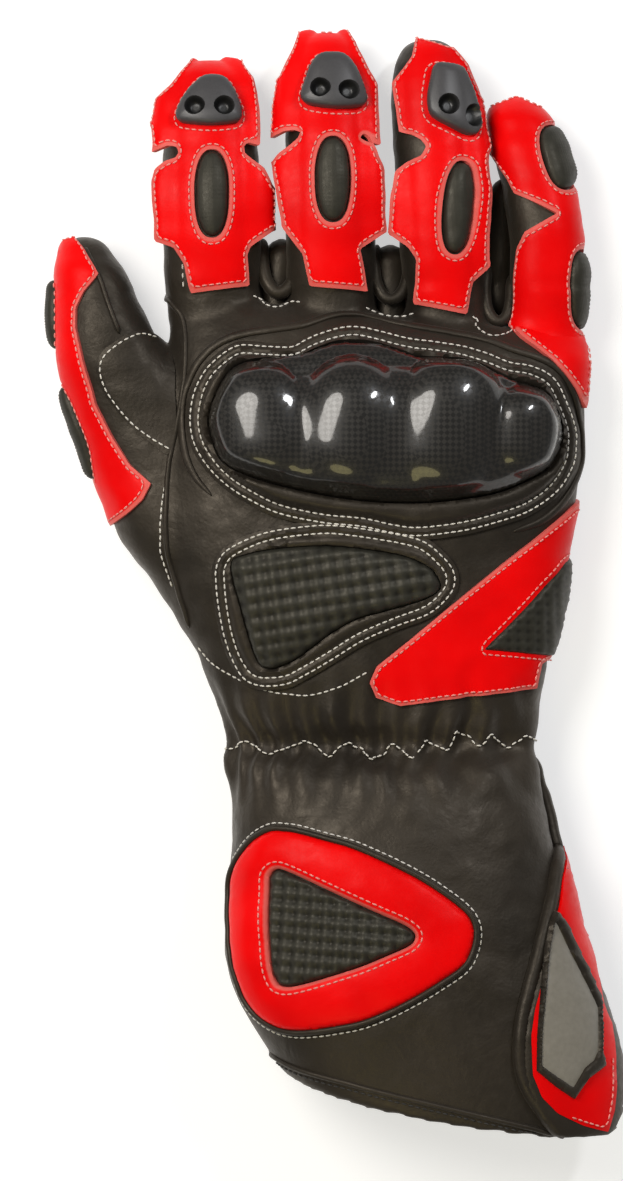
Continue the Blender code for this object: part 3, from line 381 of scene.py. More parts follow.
def applied(piece):
    """The piece with its modifiers turned into plain mesh."""
    mesh = bpy.data.meshes.new_from_object(piece.evaluated_get(bpy.context.evaluated_depsgraph_get()))
    piece.modifiers.clear()
    piece.data = mesh
    return piece


def read(items, name, width=3, kind=np.float32):
    """An array with one row for each item of a mesh."""
    values = np.empty(len(items) * width, kind)
    items.foreach_get(name, values)
    return values.reshape(-1, width)


def relax(points, edges, rounds, pull=0.5):
    """Moves each point towards the middle of its neighbours, a few times over."""
    counts = np.bincount(edges.ravel(), minlength=len(points))[:, None]
    for _ in range(rounds):
        total = np.zeros_like(points)
        np.add.at(total, edges[:, 0], points[edges[:, 1]])
        np.add.at(total, edges[:, 1], points[edges[:, 0]])
        points = points + pull * (total / np.maximum(counts, 1) - points)
    return points


def melt():
    points, faces, start = [], [], 0
    for some_points, some_faces in glove_lofts():
        points.append(some_points)
        faces += [tuple(start + i for i in face) for face in some_faces]
        start += len(some_points)
    skin = mesh_object("leather_skin", np.vstack(points), faces)
    remesh = skin.modifiers.new("melt", "REMESH")
    remesh.mode, remesh.voxel_size, remesh.use_smooth_shade = "VOXEL", SKIN_VOXEL, True
    return applied(skin)


skin = melt()
print("skin faces:", len(skin.data.polygons))

# %% [markdown]
# Worn leather is never as smooth as a loft. The elastic at the wrist draws the skin into folds that run
# along the arm, and the fingers and the cuff crease where they bend. Folds this deep need real shape, so
# each point of the skin moves in or out by noise that is stretched along the fold.

# %% Gathers and creases
GATHER_DEPTH, GATHER_WIDTH = 0.0028, 0.0086
HAND_REACH, CUFF_REACH = 0.014, 0.0115
CREASE_DEPTH = 0.00055
INNER_CLEAR, PALM_CALM, PALM_FADE = 0.0005, 0.002, 0.006
FINGERS_FROM, LINED_TO = 0.088, 0.075
HEM_LEFT, HEM_RIGHT, HEM_CALM = plan(276, 1048), plan(566, 1132), 0.030


def gather(x, y, z):
    """Folds of the wrist elastic: deep at the elastic itself, and gone a finger's width away."""
    away = (y + WRIST) / (HAND_REACH if y > -WRIST else CUFF_REACH)
    fade = math.exp(-away * away)
    sway = 1.1 * noise.noise(Vector((x * 26, y * 60, z * 26)))
    wave = math.cos(2 * math.pi * ((x + 0.6 * z) / GATHER_WIDTH + sway))
    broken = noise.noise(Vector((x * 110, y * 45 + x * 30, z * 110)))
    pinch = -0.0007 * math.exp(-(away * 2.6) ** 2)
    return fade * GATHER_DEPTH * (0.45 * wave + 0.9 * broken) + pinch


def crease(x, y, z):
    """Shallow creases, across the fingers and slanting over the hand and the cuff."""
    if y > FINGERS_FROM:
        return CREASE_DEPTH * noise.noise(Vector((x * 35, y * 190, z * 60)))
    slant = Vector((x * 60 + y * 35, y * 75 - x * 30, z * 60))
    from_hem = y - np.interp(x, *zip(HEM_LEFT, HEM_RIGHT))
    calm = min(1.0, max(0.1, from_hem / HEM_CALM))
    return calm * CREASE_DEPTH * (1.3 * noise.noise(slant) + 0.5 * noise.noise(slant * 2.7))


def inner_wall(places, normals):
    """Which places lie on the inner wall of the cuff and the hand."""
    station, _ = body.locate(places)
    left_x, left_y, right_x, right_y, bottom, waist, top, lean = body.at(station)
    axis = np.stack([(left_x + right_x) / 2, places[:, 1], waist], axis=1)
    half = np.stack([(right_x - left_x) / 2, np.ones(len(top)), (top - bottom) / 2], axis=1)
    scaled = (places - axis) / half
    scaled[:, 1] = 0
    inward = np.sum(normals / half * scaled, axis=1) < 0
    depth = np.abs(scaled[:, 0]) ** OVAL_POWER + np.abs(scaled[:, 2]) ** OVAL_POWER
    return inward & (depth < 1.0) & (places[:, 1] < LINED_TO)


def fold_skin(mesh):
    edges = read(mesh.edges, "vertices", 2, np.int32)
    points = relax(read(mesh.vertices, "co").astype(float), edges, 9)
    mesh.vertices.foreach_set("co", points.astype(np.float32).ravel())
    mesh.update()
    normals = read(mesh.vertices, "normal")
    push = np.array([gather(*p) + crease(*p) for p in points])
    push *= np.clip((points[:, 2] - PALM_CALM) / PALM_FADE, 0.0, 1.0)
    push = np.where(inner_wall(points, normals), INNER_CLEAR - push, push)
    points = relax(points + normals * push[:, None], edges, 2)
    points[:, 2] = np.maximum(points[:, 2], 0.0)
    mesh.vertices.foreach_set("co", points.astype(np.float32).ravel())
    mesh.update()
    mesh.shade_smooth()


fold_skin(skin.data)
skin_tree = BVHTree.FromPolygons(
    [tuple(v.co) for v in skin.data.vertices], [tuple(p.vertices) for p in skin.data.polygons]
)
print("skin box in mm:", [round(1000 * d, 1) for d in skin.dimensions])

# %% [markdown]
# Every other cut of leather is flat before it is sewn on, and so it is here. A Ground knows how a flat place
# lies on the glove: on the back of the hand and the cuff the flat pattern is the plan view itself, and on a
# finger it is the tube unrolled. The nearest point of the skin then carries the place, so a cut follows the
# folds that lie under it. The overlays of the fingers are stiffer than the skin, so they stand off from it
# at the sides, and their cut edges show from above.

# %% Grounds that carry the cuts
SHOULDER, SHOULDER_TURNS, SHOULDER_END = 0.0020, (32.0, 66.0), 0.013
OVERLAY_TURN, SLIDER_TURN = 71.0, 84.0
STITCH_FACES_UP, FLARE, TIP_CLEAR = 0.25, 1.0, 4
OVERLAY_SHOWN, SLIDER_SHOWN, DRAWN_IN = 0.0016, 0.0036, 0.0012


class Ground:
    def __init__(self, tube, unrolled, shoulder=0.0, widest=180.0, shown_lift=0.0):
        self.tube, self.unrolled, self.shoulder, self.widest = tube, unrolled, shoulder, widest
        self.shown_lift = shown_lift

    def flat(self, places):
        """Flat pattern places for places in plan. What is lifted off a round side shows further out, so
        the places are drawn in by as much."""
        places = as_array(places)
        if not self.unrolled:
            return [Vector(p) for p in places]
        aimed = places
        for _ in range(14 if self.shown_lift else 1):
            station, turn = self.tube.locate(aimed)
            station = np.minimum(station, self.tube.last - TIP_CLEAR)
            turn = np.clip(turn, -self.widest, self.widest)
            lift = self.shown_lift + self.stand_off(station, turn)
            shown = self.tube.points(station, turn) + self.tube.normals(station, turn) * lift[:, None]
            shift = 0.7 * np.clip(places - shown[:, :2], -DRAWN_IN, DRAWN_IN) * self.to_tip(station)[:, None]
            aimed = aimed + shift * (1, 0)
        return [
            Vector((t * self.tube.turn_length, s * self.tube.station_length)) for s, t in zip(station, turn)
        ]

    def to_tip(self, station):
        """1 along the finger, falling to 0 at its tip."""
        return np.clip((self.tube.last - station) * self.tube.station_length / SHOULDER_END, 0, 1)

    def stand_off(self, station, turn):
        """Stiff leather doesn't bend right round a finger: towards its sides it stands off from the skin,
        and most of all on the lower half of the finger."""
        first, last = SHOULDER_TURNS
        share = np.clip((np.abs(turn) - first) / (last - first), 0, 1)
        flare = 1 + FLARE * np.clip(2.4 - 3.2 * station / self.tube.last, 0, 1)
        return self.shoulder * flare * share * share * (3 - 2 * share) * self.to_tip(station)

    def around(self, flats):
        """Stations and turns of the flat places."""
        flats = as_array(flats)
        if self.unrolled:
            return flats[:, 1] / self.tube.station_length, flats[:, 0] / self.tube.turn_length
        return self.tube.locate(flats)

    def lay(self, flats, lift, even_ground=False):
        """The flat places on the glove, each lifted off the skin along the tube's own normal.
        A hard piece keeps to the even tube, because it doesn't follow the folds."""
        station, turn = self.around(flats)
        points = self.tube.points(station, turn)
        normals = self.tube.normals(station, turn)
        carried = points if even_ground else np.array([tuple(skin_tree.find_nearest(Vector(p))[0]) for p in points])
        lift = np.broadcast_to(lift, len(points)) + self.stand_off(station, turn)
        made = carried + normals * lift[:, None]
        made[:, 2] = np.maximum(made[:, 2], 0.0)
        return made

    def faces_up(self, flats):
        """Which flat places are on leather that faces up enough for a stitch to be seen."""
        return self.tube.normals(*self.around(flats))[:, 2] > STITCH_FACES_UP


on_body = Ground(body, False)
on_thumb = Ground(thumb, True)
on_finger = {name: Ground(tube, True, SHOULDER, OVERLAY_TURN, OVERLAY_SHOWN) for name, tube in fingers.items()}
on_finger["little"] = Ground(fingers["little"], True)
under_slider = {name: Ground(tube, True, SHOULDER, SLIDER_TURN, SLIDER_SHOWN) for name, tube in fingers.items()}

# %% [markdown]
# One function cuts every piece. It takes the flat outline, fills it with a fine net of triangles, and lays
# an upper and an under side on the ground. The height of the upper side is a rule that is handed in, so the
# same function makes a flat overlay, a padded oval, a woven relief or a domed shell. Constrained Delaunay
# triangulation is the right tool, because it keeps the outline exactly and needs no grid.

# %% The cutting table
SUNK = 0.0003
ROUNDING = 0.0003


def winding(loop):
    return sum(a.x * b.y - b.x * a.y for a, b in zip(loop, loop[1:] + loop[:1]))


def inset(loop, by):
    """The closed line moved inwards, or outwards where by is negative, without the knots at its corners."""
    turned = 1.0 if winding(loop) > 0 else -1.0
    moved = []
    for n, place in enumerate(loop):
        tangent = loop[(n + 1) % len(loop)] - loop[n - 1]
        if tangent.length:
            moved.append(place + Vector((-tangent.y, tangent.x)).normalized() * turned * by)
    far = distances(moved, [loop])
    return [place for place, away in zip(moved, far) if away >= 0.9 * abs(by)]


def distances(places, loops):
    """How far each place is from the nearest of the lines."""
    places = as_array(places)
    best = np.full(len(places), 1e9)
    for loop in loops:
        start = as_array(loop)
        run = np.roll(start, -1, axis=0) - start
        size = np.maximum((run ** 2).sum(axis=1), 1e-18)
        for low in range(0, len(places), 2000):
            part = places[low:low + 2000, None, :] - start[None]
            share = np.clip((part * run).sum(axis=2) / size, 0, 1)
            away = np.linalg.norm(part - share[..., None] * run, axis=2).min(axis=1)
            best[low:low + 2000] = np.minimum(best[low:low + 2000], away)
    return best


def inside(places, loops):
    """Which places lie within an odd number of the loops."""
    x, y = as_array(places).T
    odd = np.zeros(len(x), bool)
    for loop in loops:
        for a, b in zip(loop, loop[1:] + loop[:1]):
            crosses = (a.y > y) != (b.y > y)
            if crosses.any():
                odd ^= crosses & (x < a.x + (y - a.y) * (b.x - a.x) / ((b.y - a.y) or 1e-12))
    return odd


def net(loops, creases, spacing):
    """Places and triangles that fill the loops, with the creases among their edges."""
    lines = loops + creases
    outer = as_array(loops[0])
    low, high = outer.min(axis=0), outer.max(axis=0)
    grid = [
        Vector((x + (n % 2) * spacing / 2, y))
        for n, y in enumerate(np.arange(low[1], high[1], spacing * 0.87)) for x in np.arange(low[0], high[0], spacing)
    ]
    free = inside(grid, loops) & (distances(grid, lines) > 0.55 * spacing)
    places, edges = [], []
    for line in lines:
        start = len(places)
        edges += [(start + n, start + (n + 1) % len(line)) for n in range(len(line))]
        places += line
    places += [p for p, ok in zip(grid, free) if ok]
    made, _, faces, _, _, _ = delaunay_2d_cdt(places, edges, [], 0, 1e-9)
    middles = [sum((made[i] for i in face), Vector((0, 0))) / len(face) for face in faces]
    return made, [tuple(face) for face, ok in zip(faces, inside(middles, loops)) if ok]


def border_of(faces):
    """The edges that only one triangle has, each in its triangle's own direction."""
    seen = {}
    for face in faces:
        for a, b in zip(face, face[1:] + face[:1]):
            if seen.pop((b, a), None) is None:
                seen[(a, b)] = True
    return list(seen)


def mark(piece, name, values):
    """Writes one number for each point, which a finish can read."""
    piece.data.attributes.new(name, "FLOAT", "POINT").data.foreach_set("value", np.asarray(values, np.float32))


def cut_piece(name, ground, loop, thickness, holes=(), creases=(), spacing=0.0011, lift=0.0, height=None,
              rounding=ROUNDING, sharp=50, even_ground=False, raw=None):
    """A piece of leather, padding or shell: height(places, edge distances) raises its upper side.
    The rim attribute is the distance from the raw edges in millimetres: all edges, or those given as raw."""
    loops = [loop, *holes]
    places, faces = net(loops, list(creases), spacing)
    edge = distances(places, loops)
    rise = height(places, edge) if height else np.full(len(places), thickness)
    fall = np.clip(1 - edge / rounding, 0, 1)
    top = lift + rise - np.where(edge < rounding, rounding * fall ** 2, 0.0)
    count = len(places)
    upper = ground.lay(places, top, even_ground)
    under = ground.lay(places, np.full(count, lift - SUNK))
    walls = [(a, b, count + b, count + a) for a, b in border_of(faces)]
    reverse = [tuple(count + i for i in face[::-1]) for face in faces]
    made = mesh_object(name, np.vstack([upper, under]), faces + reverse + walls)
    from_raw = edge if raw is None else distances(places, raw) if raw else np.full(count, 1.0)
    mark(made, "rim", 1000 * np.concatenate([from_raw, np.where(from_raw < 0.0005, 0.0, from_raw)]).astype(np.float32))
    mesh = made.data
    corners = read(mesh.loops, "vertex_index", 1, np.int32)[:, 0]
    pattern = as_array(places)[corners % count] * 1000
    mesh.uv_layers.new(name="pattern").data.foreach_set("uv", pattern.astype(np.float32).ravel())
    mesh.shade_smooth()
    mesh.set_sharp_from_angle(angle=math.radians(sharp))
    print(f"{name}: {len(mesh.polygons)} faces")
    return made


def pattern_places(piece):
    """The flat pattern place of every point of a cut piece."""
    flats = np.zeros((len(piece.data.vertices), 2))
    corners = read(piece.data.loops, "vertex_index", 1, np.int32)[:, 0]
    flats[corners] = read(piece.data.uv_layers["pattern"].data, "uv", 2) / 1000
    return flats


def padded_height(rim, crown, reach):
    """Rises from rim at the edge to rim + crown at a distance of reach from it."""
    def height(places, edge):
        share = np.clip(edge / reach, 0, 1)
        return rim + crown * np.sqrt(1 - (1 - share) ** 2)
    return height

# %% [markdown]
# Leather shows its kind by how light breaks on it. Black leather here is soft and fairly matt, with small
# pores and a brown-grey sheen. The red leather is drum dyed and smoother, and its cut edges show a paler
# pink core. All patterns are worked out from the object's own coordinates, so they need no picture.

# %% Helpers for finishes
def new_finish(name, sockets=()):
    """A material, its node tree and its shader, with some of the shader's sockets set by name."""
    made = bpy.data.materials.new(name)
    made.use_nodes = True
    shader = made.node_tree.nodes["Principled BSDF"]
    wire(made.node_tree, shader, sockets)
    return made, made.node_tree, shader


def wire(tree, node, inputs):
    """Gives a node its inputs, as {socket name or number: value or output}."""
    for key, value in dict(inputs).items():
        if isinstance(value, bpy.types.NodeSocket):
            tree.links.new(value, node.inputs[key])
        else:
            node.inputs[key].default_value = value


def add(tree, kind, inputs=(), **settings):
    """A shader node with its settings and inputs."""
    node = tree.nodes.new(kind)
    for key, value in settings.items():
        setattr(node, key, value)
    wire(tree, node, inputs)
    return node


def blend(tree, share, first, second):
    """A colour between two, each of which is a colour or another node's output."""
    first, second = [c if isinstance(c, bpy.types.NodeSocket) else (*c, 1) for c in (first, second)]
    return add(tree, "ShaderNodeMix", {"Factor": share, 6: first, 7: second}, data_type="RGBA").outputs[2]


def spread(tree, value, low, high, from_low=0.0, from_high=1.0):
    return add(tree, "ShaderNodeMapRange", {
        "Value": value, "From Min": from_low, "From Max": from_high, "To Min": low, "To Max": high,
    }).outputs["Result"]


def object_places(tree):
    return add(tree, "ShaderNodeTexCoord").outputs["Object"]


def attribute(tree, name):
    return add(tree, "ShaderNodeAttribute", attribute_name=name).outputs["Fac"]


def cloud(tree, at, scale, detail, **more):
    return add(tree, "ShaderNodeTexNoise", {"Vector": at, "Scale": scale, "Detail": detail, **more}).outputs[0]


def bump(tree, height, strength, distance, **under):
    inputs = {"Height": height, "Strength": strength, "Distance": distance, **under}
    return add(tree, "ShaderNodeBump", inputs).outputs["Normal"]


# %% Leathers
BLACK, BLACK_WARM = (0.0075, 0.0060, 0.0044), (0.0210, 0.0165, 0.0120)
RED, RED_DEEP, RED_CORE = (0.84, 0.0012, 0.0016), (0.70, 0.0010, 0.0016), (0.68, 0.110, 0.094)
# The third pressed colour is painted shade for the grooves of the woven pads.
PRESSED, PRESSED_PALE, PRESSED_GROOVE_SHADE = (0.0110, 0.0106, 0.0082), (0.0290, 0.0280, 0.0215), (0.0030, 0.0028, 0.0022)
RAW_EDGE_MM = (0.60, 1.05)


def leather(name, pores, clouds, colours, shine, sockets, worn=False, over=None):
    """Leather whose colour goes in clouds between two, and whose shine follows its creases. Where over is
    given, an attribute of the piece lays a third colour over them: its name, its spread and the colour."""
    made, tree, shader = new_finish(name, sockets)
    at = object_places(tree)
    cell, depth, strength = pores
    under = {}
    if worn:
        under["Normal"] = bump(tree, cloud(tree, at, 95.0, 6.0, Distortion=0.8), 0.45, 0.0009)
    dots = add(tree, "ShaderNodeTexVoronoi", {"Vector": at, "Scale": 1 / cell, "Randomness": 1.0}, feature="SMOOTH_F1")
    creases = cloud(tree, at, 0.35 / cell, 4.0, Roughness=0.6)
    fine = add(tree, "ShaderNodeMath", {0: dots.outputs["Distance"], 1: creases}, operation="MULTIPLY")
    scale, detail, low, high = clouds
    colour = blend(tree, spread(tree, cloud(tree, at, scale, detail), 0.0, 1.0, low, high), *colours)
    if over:
        colour = blend(tree, spread(tree, attribute(tree, over[0]), *over[1]), colour, over[2])
    wire(tree, shader, {
        "Base Color": colour, "Roughness": spread(tree, creases, *shine, 0.3, 0.7),
        "Normal": bump(tree, fine.outputs[0], strength, depth, **under),
    })
    return made


black = leather(
    "black_leather", (0.0009, 0.00016, 0.55), (26.0, 3.0, 0.35, 0.68), (BLACK, BLACK_WARM), (0.40, 0.56), {
        "Specular IOR Level": 0.40, "Specular Tint": (1.0, 0.88, 0.73, 1), "Sheen Weight": 0.08,
        "Sheen Roughness": 0.5, "Sheen Tint": (0.75, 0.66, 0.58, 1),
    }, worn=True
)
red = leather(
    "red_leather", (0.0008, 0.00010, 0.45), (34.0, 3.0, 0.38, 0.66), (RED, RED_DEEP), (0.30, 0.44),
    {"Specular IOR Level": 0.13, "Specular Tint": (1.0, 0.55, 0.55, 1)},
    over=("rim", (1.0, 0.0, *RAW_EDGE_MM), RED_CORE)
)
# Embossed leather lays its third colour into the grooves as painted shade.
embossed = leather(
    "embossed_leather", (0.00045, 0.00008, 0.4), (300.0, 2.0, 0.0, 1.0), (PRESSED, PRESSED_PALE), (0.42, 0.58),
    {"Specular IOR Level": 0.36, "Specular Tint": (1.0, 0.94, 0.80, 1)}, over=("groove", (0.0, 1.0), PRESSED_GROOVE_SHADE)
)

# %% Carbon, slider plastic, plate, threads and lining
CARBON_TOW = 0.0012


def carbon_shell():
    """A twill of fine tows under a thick clear coat."""
    made, tree, shader = new_finish("carbon_shell", {
        "Specular IOR Level": 0.30, "Coat Weight": 0.72, "Coat Roughness": 0.075, "Coat IOR": 1.48,
    })
    turned = add(tree, "ShaderNodeMapping", {
        "Vector": object_places(tree), "Rotation": (0, 0, math.radians(45)), "Scale": (1 / CARBON_TOW,) * 3,
    }).outputs[0]
    tows = add(tree, "ShaderNodeTexChecker", {
        "Vector": turned, "Scale": 1.0, "Color1": (1, 1, 1, 1), "Color2": (0, 0, 0, 1),
    }).outputs["Fac"]
    share = add(tree, "ShaderNodeMath", {0: tows, 1: cloud(tree, turned, 9.0, 2.0)}, operation="MULTIPLY")
    wire(tree, shader, {
        "Base Color": blend(tree, share.outputs[0], (0.0060, 0.0052, 0.0040), (0.0185, 0.0155, 0.0115)),
        "Roughness": spread(tree, tows, 0.30, 0.48),
    })
    return made


def moulded(name, low, high, roughness, cell, dark=None):
    """Satin plastic with a fine moulded texture. Where dark is given, its wells are painted that colour as shade."""
    made, tree, shader = new_finish(name)
    texture = cloud(tree, object_places(tree), 1 / cell, 3.0)
    hue = blend(tree, texture, low, high)
    wire(tree, shader, {
        "Base Color": blend(tree, attribute(tree, "groove"), hue, dark) if dark else hue,
        "Roughness": spread(tree, texture, roughness - 0.06, roughness + 0.08),
        "Normal": bump(tree, texture, 0.25, 0.00006),
    })
    return made


def yarn(name, light, dark, scale=900.0, distortion=1.0, dull=(0.55, 0.75), depth=0.0001):
    """Twisted thread or knitted cloth, whose plies show as a fine wave."""
    made, tree, shader = new_finish(name)
    plies = add(tree, "ShaderNodeTexWave", {
        "Vector": object_places(tree), "Scale": scale, "Distortion": distortion,
    }, bands_direction="DIAGONAL").outputs["Fac"]
    wire(tree, shader, {
        "Base Color": blend(tree, plies, dark, light), "Roughness": spread(tree, plies, *dull),
        "Normal": bump(tree, plies, 0.4, depth),
    })
    return made


carbon = carbon_shell()
# The last colour of the slider plastic is painted shade for its wells.
slider_plastic = moulded("slider_plastic", (0.036, 0.035, 0.037), (0.056, 0.054, 0.057), 0.40, 0.0006, (0.006,) * 3)
plate_grey = moulded("plate_grey", (0.165, 0.152, 0.125), (0.235, 0.218, 0.185), 0.42, 0.0016)
white_thread = yarn("white_thread", (0.78, 0.75, 0.69), (0.50, 0.47, 0.42))
pink_thread = yarn("pink_thread", (0.86, 0.36, 0.32), (0.66, 0.16, 0.14))
black_thread = yarn("black_thread", (0.030, 0.027, 0.025), (0.012, 0.011, 0.010))
lining = yarn("lining_cloth", (0.035, 0.035, 0.037), (0.012, 0.012, 0.013), 380.0, 0.6, (0.8, 0.95), 0.0002)


def finished(piece, finish, *nodes):
    """Gives a piece its finish, and says which CAD solids it stands for and where it rides."""
    piece.data.materials.clear()
    piece.data.materials.append(finish)
    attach(piece, "root")
    if nodes:
        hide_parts(*nodes)
    return piece


# %% Dress the skin, with cloth on the inner wall
finished(skin, black, "hand", "cuff", "thumb", "index_finger", "middle_finger", "ring_finger", "little_finger",
         "cuff_hem")
skin.data.materials.append(lining)
cloth = inner_wall(read(skin.data.polygons, "center").astype(float), read(skin.data.polygons, "normal"))
skin.data.polygons.foreach_set("material_index", cloth.astype(np.int32))

# %% [markdown]
# Stitches repeat by the thousand, so Geometry Nodes place them: a path is cut into even steps, and one small
# capsule of thread is turned along the path at each step. The node tree has its sizes as named inputs. The
# result is made into plain mesh at the end, because the model that is exported keeps no instances.

# %% Thread
THREAD = {"Length": 0.0016, "Gap": 0.0004, "Radius": 0.00027}
SEAM_SPACING, THREAD_LIFT = 0.0008, 0.00016
SEAM_BREAK = 3 * SEAM_SPACING


def stitch_tree():
    tree = bpy.data.node_groups.new("stitches", "GeometryNodeTree")
    face = tree.interface
    face.new_socket("Geometry", in_out="INPUT", socket_type="NodeSocketGeometry")
    for name, value in THREAD.items():
        face.new_socket(name, in_out="INPUT", socket_type="NodeSocketFloat").default_value = value
    face.new_socket("Thread", in_out="INPUT", socket_type="NodeSocketMaterial")
    face.new_socket("Geometry", in_out="OUTPUT", socket_type="NodeSocketGeometry")
    start, end = tree.nodes.new("NodeGroupInput"), tree.nodes.new("NodeGroupOutput")
    sizes = start.outputs
    step = add(tree, "ShaderNodeMath", {0: sizes["Length"], 1: sizes["Gap"]}, operation="ADD")
    line = add(tree, "GeometryNodeMeshToCurve", {0: sizes["Geometry"]})
    even_line = add(tree, "GeometryNodeResampleCurve", {
        "Curve": line.outputs[0], "Length": step.outputs[0],
    }, mode="LENGTH")
    half = add(tree, "ShaderNodeMath", {0: sizes["Length"], 1: 0.5}, operation="MULTIPLY")
    size = add(tree, "ShaderNodeCombineXYZ", {0: sizes["Radius"], 1: sizes["Radius"], 2: half.outputs[0]})
    ball = add(tree, "GeometryNodeMeshUVSphere", {"Segments": 6, "Rings": 5, "Radius": 1.0})
    capsule = add(tree, "GeometryNodeTransform", {"Geometry": ball.outputs[0], "Scale": size.outputs[0]})
    tangent = tree.nodes.new("GeometryNodeInputTangent")
    turn = add(tree, "FunctionNodeAlignRotationToVector", {"Vector": tangent.outputs[0]}, axis="Z")
    sown = add(tree, "GeometryNodeInstanceOnPoints", {
        "Points": even_line.outputs[0], "Instance": capsule.outputs[0], "Rotation": turn.outputs[0],
    })
    real = add(tree, "GeometryNodeRealizeInstances", {0: sown.outputs[0]})
    smooth = add(tree, "GeometryNodeSetShadeSmooth", {0: real.outputs[0]})
    dyed = add(tree, "GeometryNodeSetMaterial", {"Geometry": smooth.outputs[0], "Material": sizes["Thread"]})
    tree.links.new(dyed.outputs[0], end.inputs[0])
    return tree


stitches = stitch_tree()


def sew(name, paths, finish):
    """One piece of thread with a stitch at each step of every path, broken where a path has a gap."""
    edges, start = [], 0
    for path in paths:
        steps = np.linalg.norm(np.diff(path, axis=0), axis=1)
        edges += [(start + n, start + n + 1) for n in range(len(steps)) if steps[n] < SEAM_BREAK]
        start += len(path)
    made = mesh_object(name, np.vstack(paths), [], edges)
    needle = made.modifiers.new("stitches", "NODES")
    needle.node_group = stitches
    names = {item.name: item.identifier for item in stitches.interface.items_tree if item.in_out == "INPUT"}
    for key, value in {**THREAD, "Thread": finish}.items():
        needle[names[key]] = value
    applied(made)
    print(f"{name}: {len(made.data.polygons)} faces of thread")
    return finished(made, finish)


def seam(ground, pixels, lift):
    """A row for the thread over a ground."""
    return ground.lay(even(ground.flat(smooth_line(pixels, SEAM_SPACING)), SEAM_SPACING), lift + THREAD_LIFT)


def seam_along(ground, line, lift):
    """A row for the thread along a closed flat line, broken where the line has a gap."""
    flats = []
    for a, b in zip(line, line[1:] + line[:1]):
        if (b - a).length < SEAM_BREAK:
            flats += even([a, b], SEAM_SPACING)
    return ground.lay(flats, lift + THREAD_LIFT)[ground.faces_up(flats)]


def seam_beside(ground, loop, by, lift):
    """A row for the thread that runs inside a flat outline, or outside it where by is negative."""
    return seam_along(ground, inset(loop, by), lift)


white_seams, pink_seams = [], []

# %% [markdown]
# The backs of the fingers carry red overlays. Each is one cut with a waist at the middle knuckle, where the
# finger bends, and it wraps the finger down to its sides. A padded oval shows through a hole in it. The
# outline is traced round in plan, and the ground unrolls it.

# %% Red overlays on the fingers
OVERLAY, PIECE_LIFT = 0.0013, 0.0003
BESIDE_EDGE, JOINED_REACH = 0.00115, 0.0008
OVERLAY_OUTLINES = {
    "index": [
        (191, 60), (232, 60), (242, 65), (254, 80), (259, 95), (262, 134), (262, 147), (249, 143), (245, 147),
        (246, 154), (254, 161), (266, 170), (276, 192), (276, 222), (279, 227), (251, 246), (248, 254), (251, 285),
        (190, 293), (183, 264), (172, 247), (153, 240), (150, 183), (153, 170), (164, 162), (175, 158), (178, 152),
        (175, 147), (167, 146), (150, 153), (150, 102), (168, 86), (180, 72),
    ],
    "middle": [
        (301, 31), (347, 32), (357, 43), (372, 72), (380, 85), (382, 147), (368, 143), (361, 139), (364, 134),
        (370, 137), (378, 152), (386, 170), (388, 231), (361, 249), (369, 291), (309, 286), (302, 254), (280, 226),
        (270, 163), (277, 154), (287, 147), (297, 139), (300, 133), (294, 131), (284, 132), (270, 138),
        (271, 87), (287, 58),
    ],
    "ring": [
        (416, 37), (455, 48), (471, 66), (484, 100), (493, 142), (490, 165), (494, 186), (491, 259), (493, 265),
        (474, 282), (467, 314), (412, 303), (416, 259), (407, 246), (387, 232), (389, 192), (394, 171), (406, 162),
        (421, 156), (426, 147), (420, 140), (411, 135), (398, 132), (391, 83), (412, 56),
    ],
    "little": [
        (489, 106), (519, 95), (543, 106), (553, 121), (566, 150), (577, 185), (586, 221), (592, 270), (593, 320),
        (588, 345), (519, 341), (514, 324), (519, 248), (526, 232), (556, 214), (517, 193), (494, 147),
        (488, 130),
    ],
}
OVALS = {
    "index": [((212, 194), (18, 44), 0, "index_pad")],
    "middle": [((333, 180), (19, 43), 0, "middle_pad")],
    "ring": [((459, 208), (17, 47), 6, "ring_pad")],
    "little": [((557, 157), (15, 34), -16, "little_tip_pad"), ((581, 289), (13, 41), 0, "little_base_pad")],
}


def oval_line(middle, halves, turn, spacing=0.0006):
    """A pointed oval in plan, from its middle and half sizes in pixels and its turn in degrees."""
    made = []
    for n in range(96):
        angle = 2 * math.pi * n / 96
        x = halves[0] * math.copysign(abs(math.cos(angle)) ** 0.85, math.cos(angle))
        y = halves[1] * math.copysign(abs(math.sin(angle)) ** 0.85, math.sin(angle))
        lean = math.radians(turn)
        made.append(plan(
            middle[0] + x * math.cos(lean) - y * math.sin(lean), middle[1] + x * math.sin(lean) + y * math.cos(lean)
        ))
    return even(made + made[:1], spacing, True)


def flat_loop(ground, line, spacing=0.0008):
    """The closed line in plan as a flat pattern of even steps."""
    flats = ground.flat(line)
    return even(flats + flats[:1], spacing, True)


def cut_overlay(name, ground, line, inner, nodes, spacing=0.0012, joined=None):
    """A red cut with holes in it, given as flat loops, and a row of stitches beside every edge. An edge along
    the joined line, which is given in plan, runs on into the next cut: it is neither raw nor sewn."""
    loop = flat_loop(ground, line)
    free = loop
    if joined:
        edge = ground.flat(even(outline(joined), OUTLINE_STEP))
        free = [place for place, away in zip(loop, distances(loop, [edge + edge[::-1]])) if away > JOINED_REACH]
        gap = max(range(len(free)), key=lambda n: (free[n] - free[n - 1]).length)
        free = free[gap:] + free[:gap]
        free = free + free[::-1]
    piece = cut_piece(name, ground, loop, OVERLAY, inner, spacing=spacing, lift=PIECE_LIFT, raw=[free, *inner])
    finished(piece, red, *nodes)
    row = inset(loop, BESIDE_EDGE)
    row = [place for place, away in zip(row, distances(row, [free])) if away < BESIDE_EDGE + JOINED_REACH / 2]
    pink_seams.append(seam_along(ground, row, PIECE_LIFT + OVERLAY))
    for hole in inner:
        pink_seams.append(seam_beside(ground, hole, -BESIDE_EDGE, PIECE_LIFT + OVERLAY))
    return piece


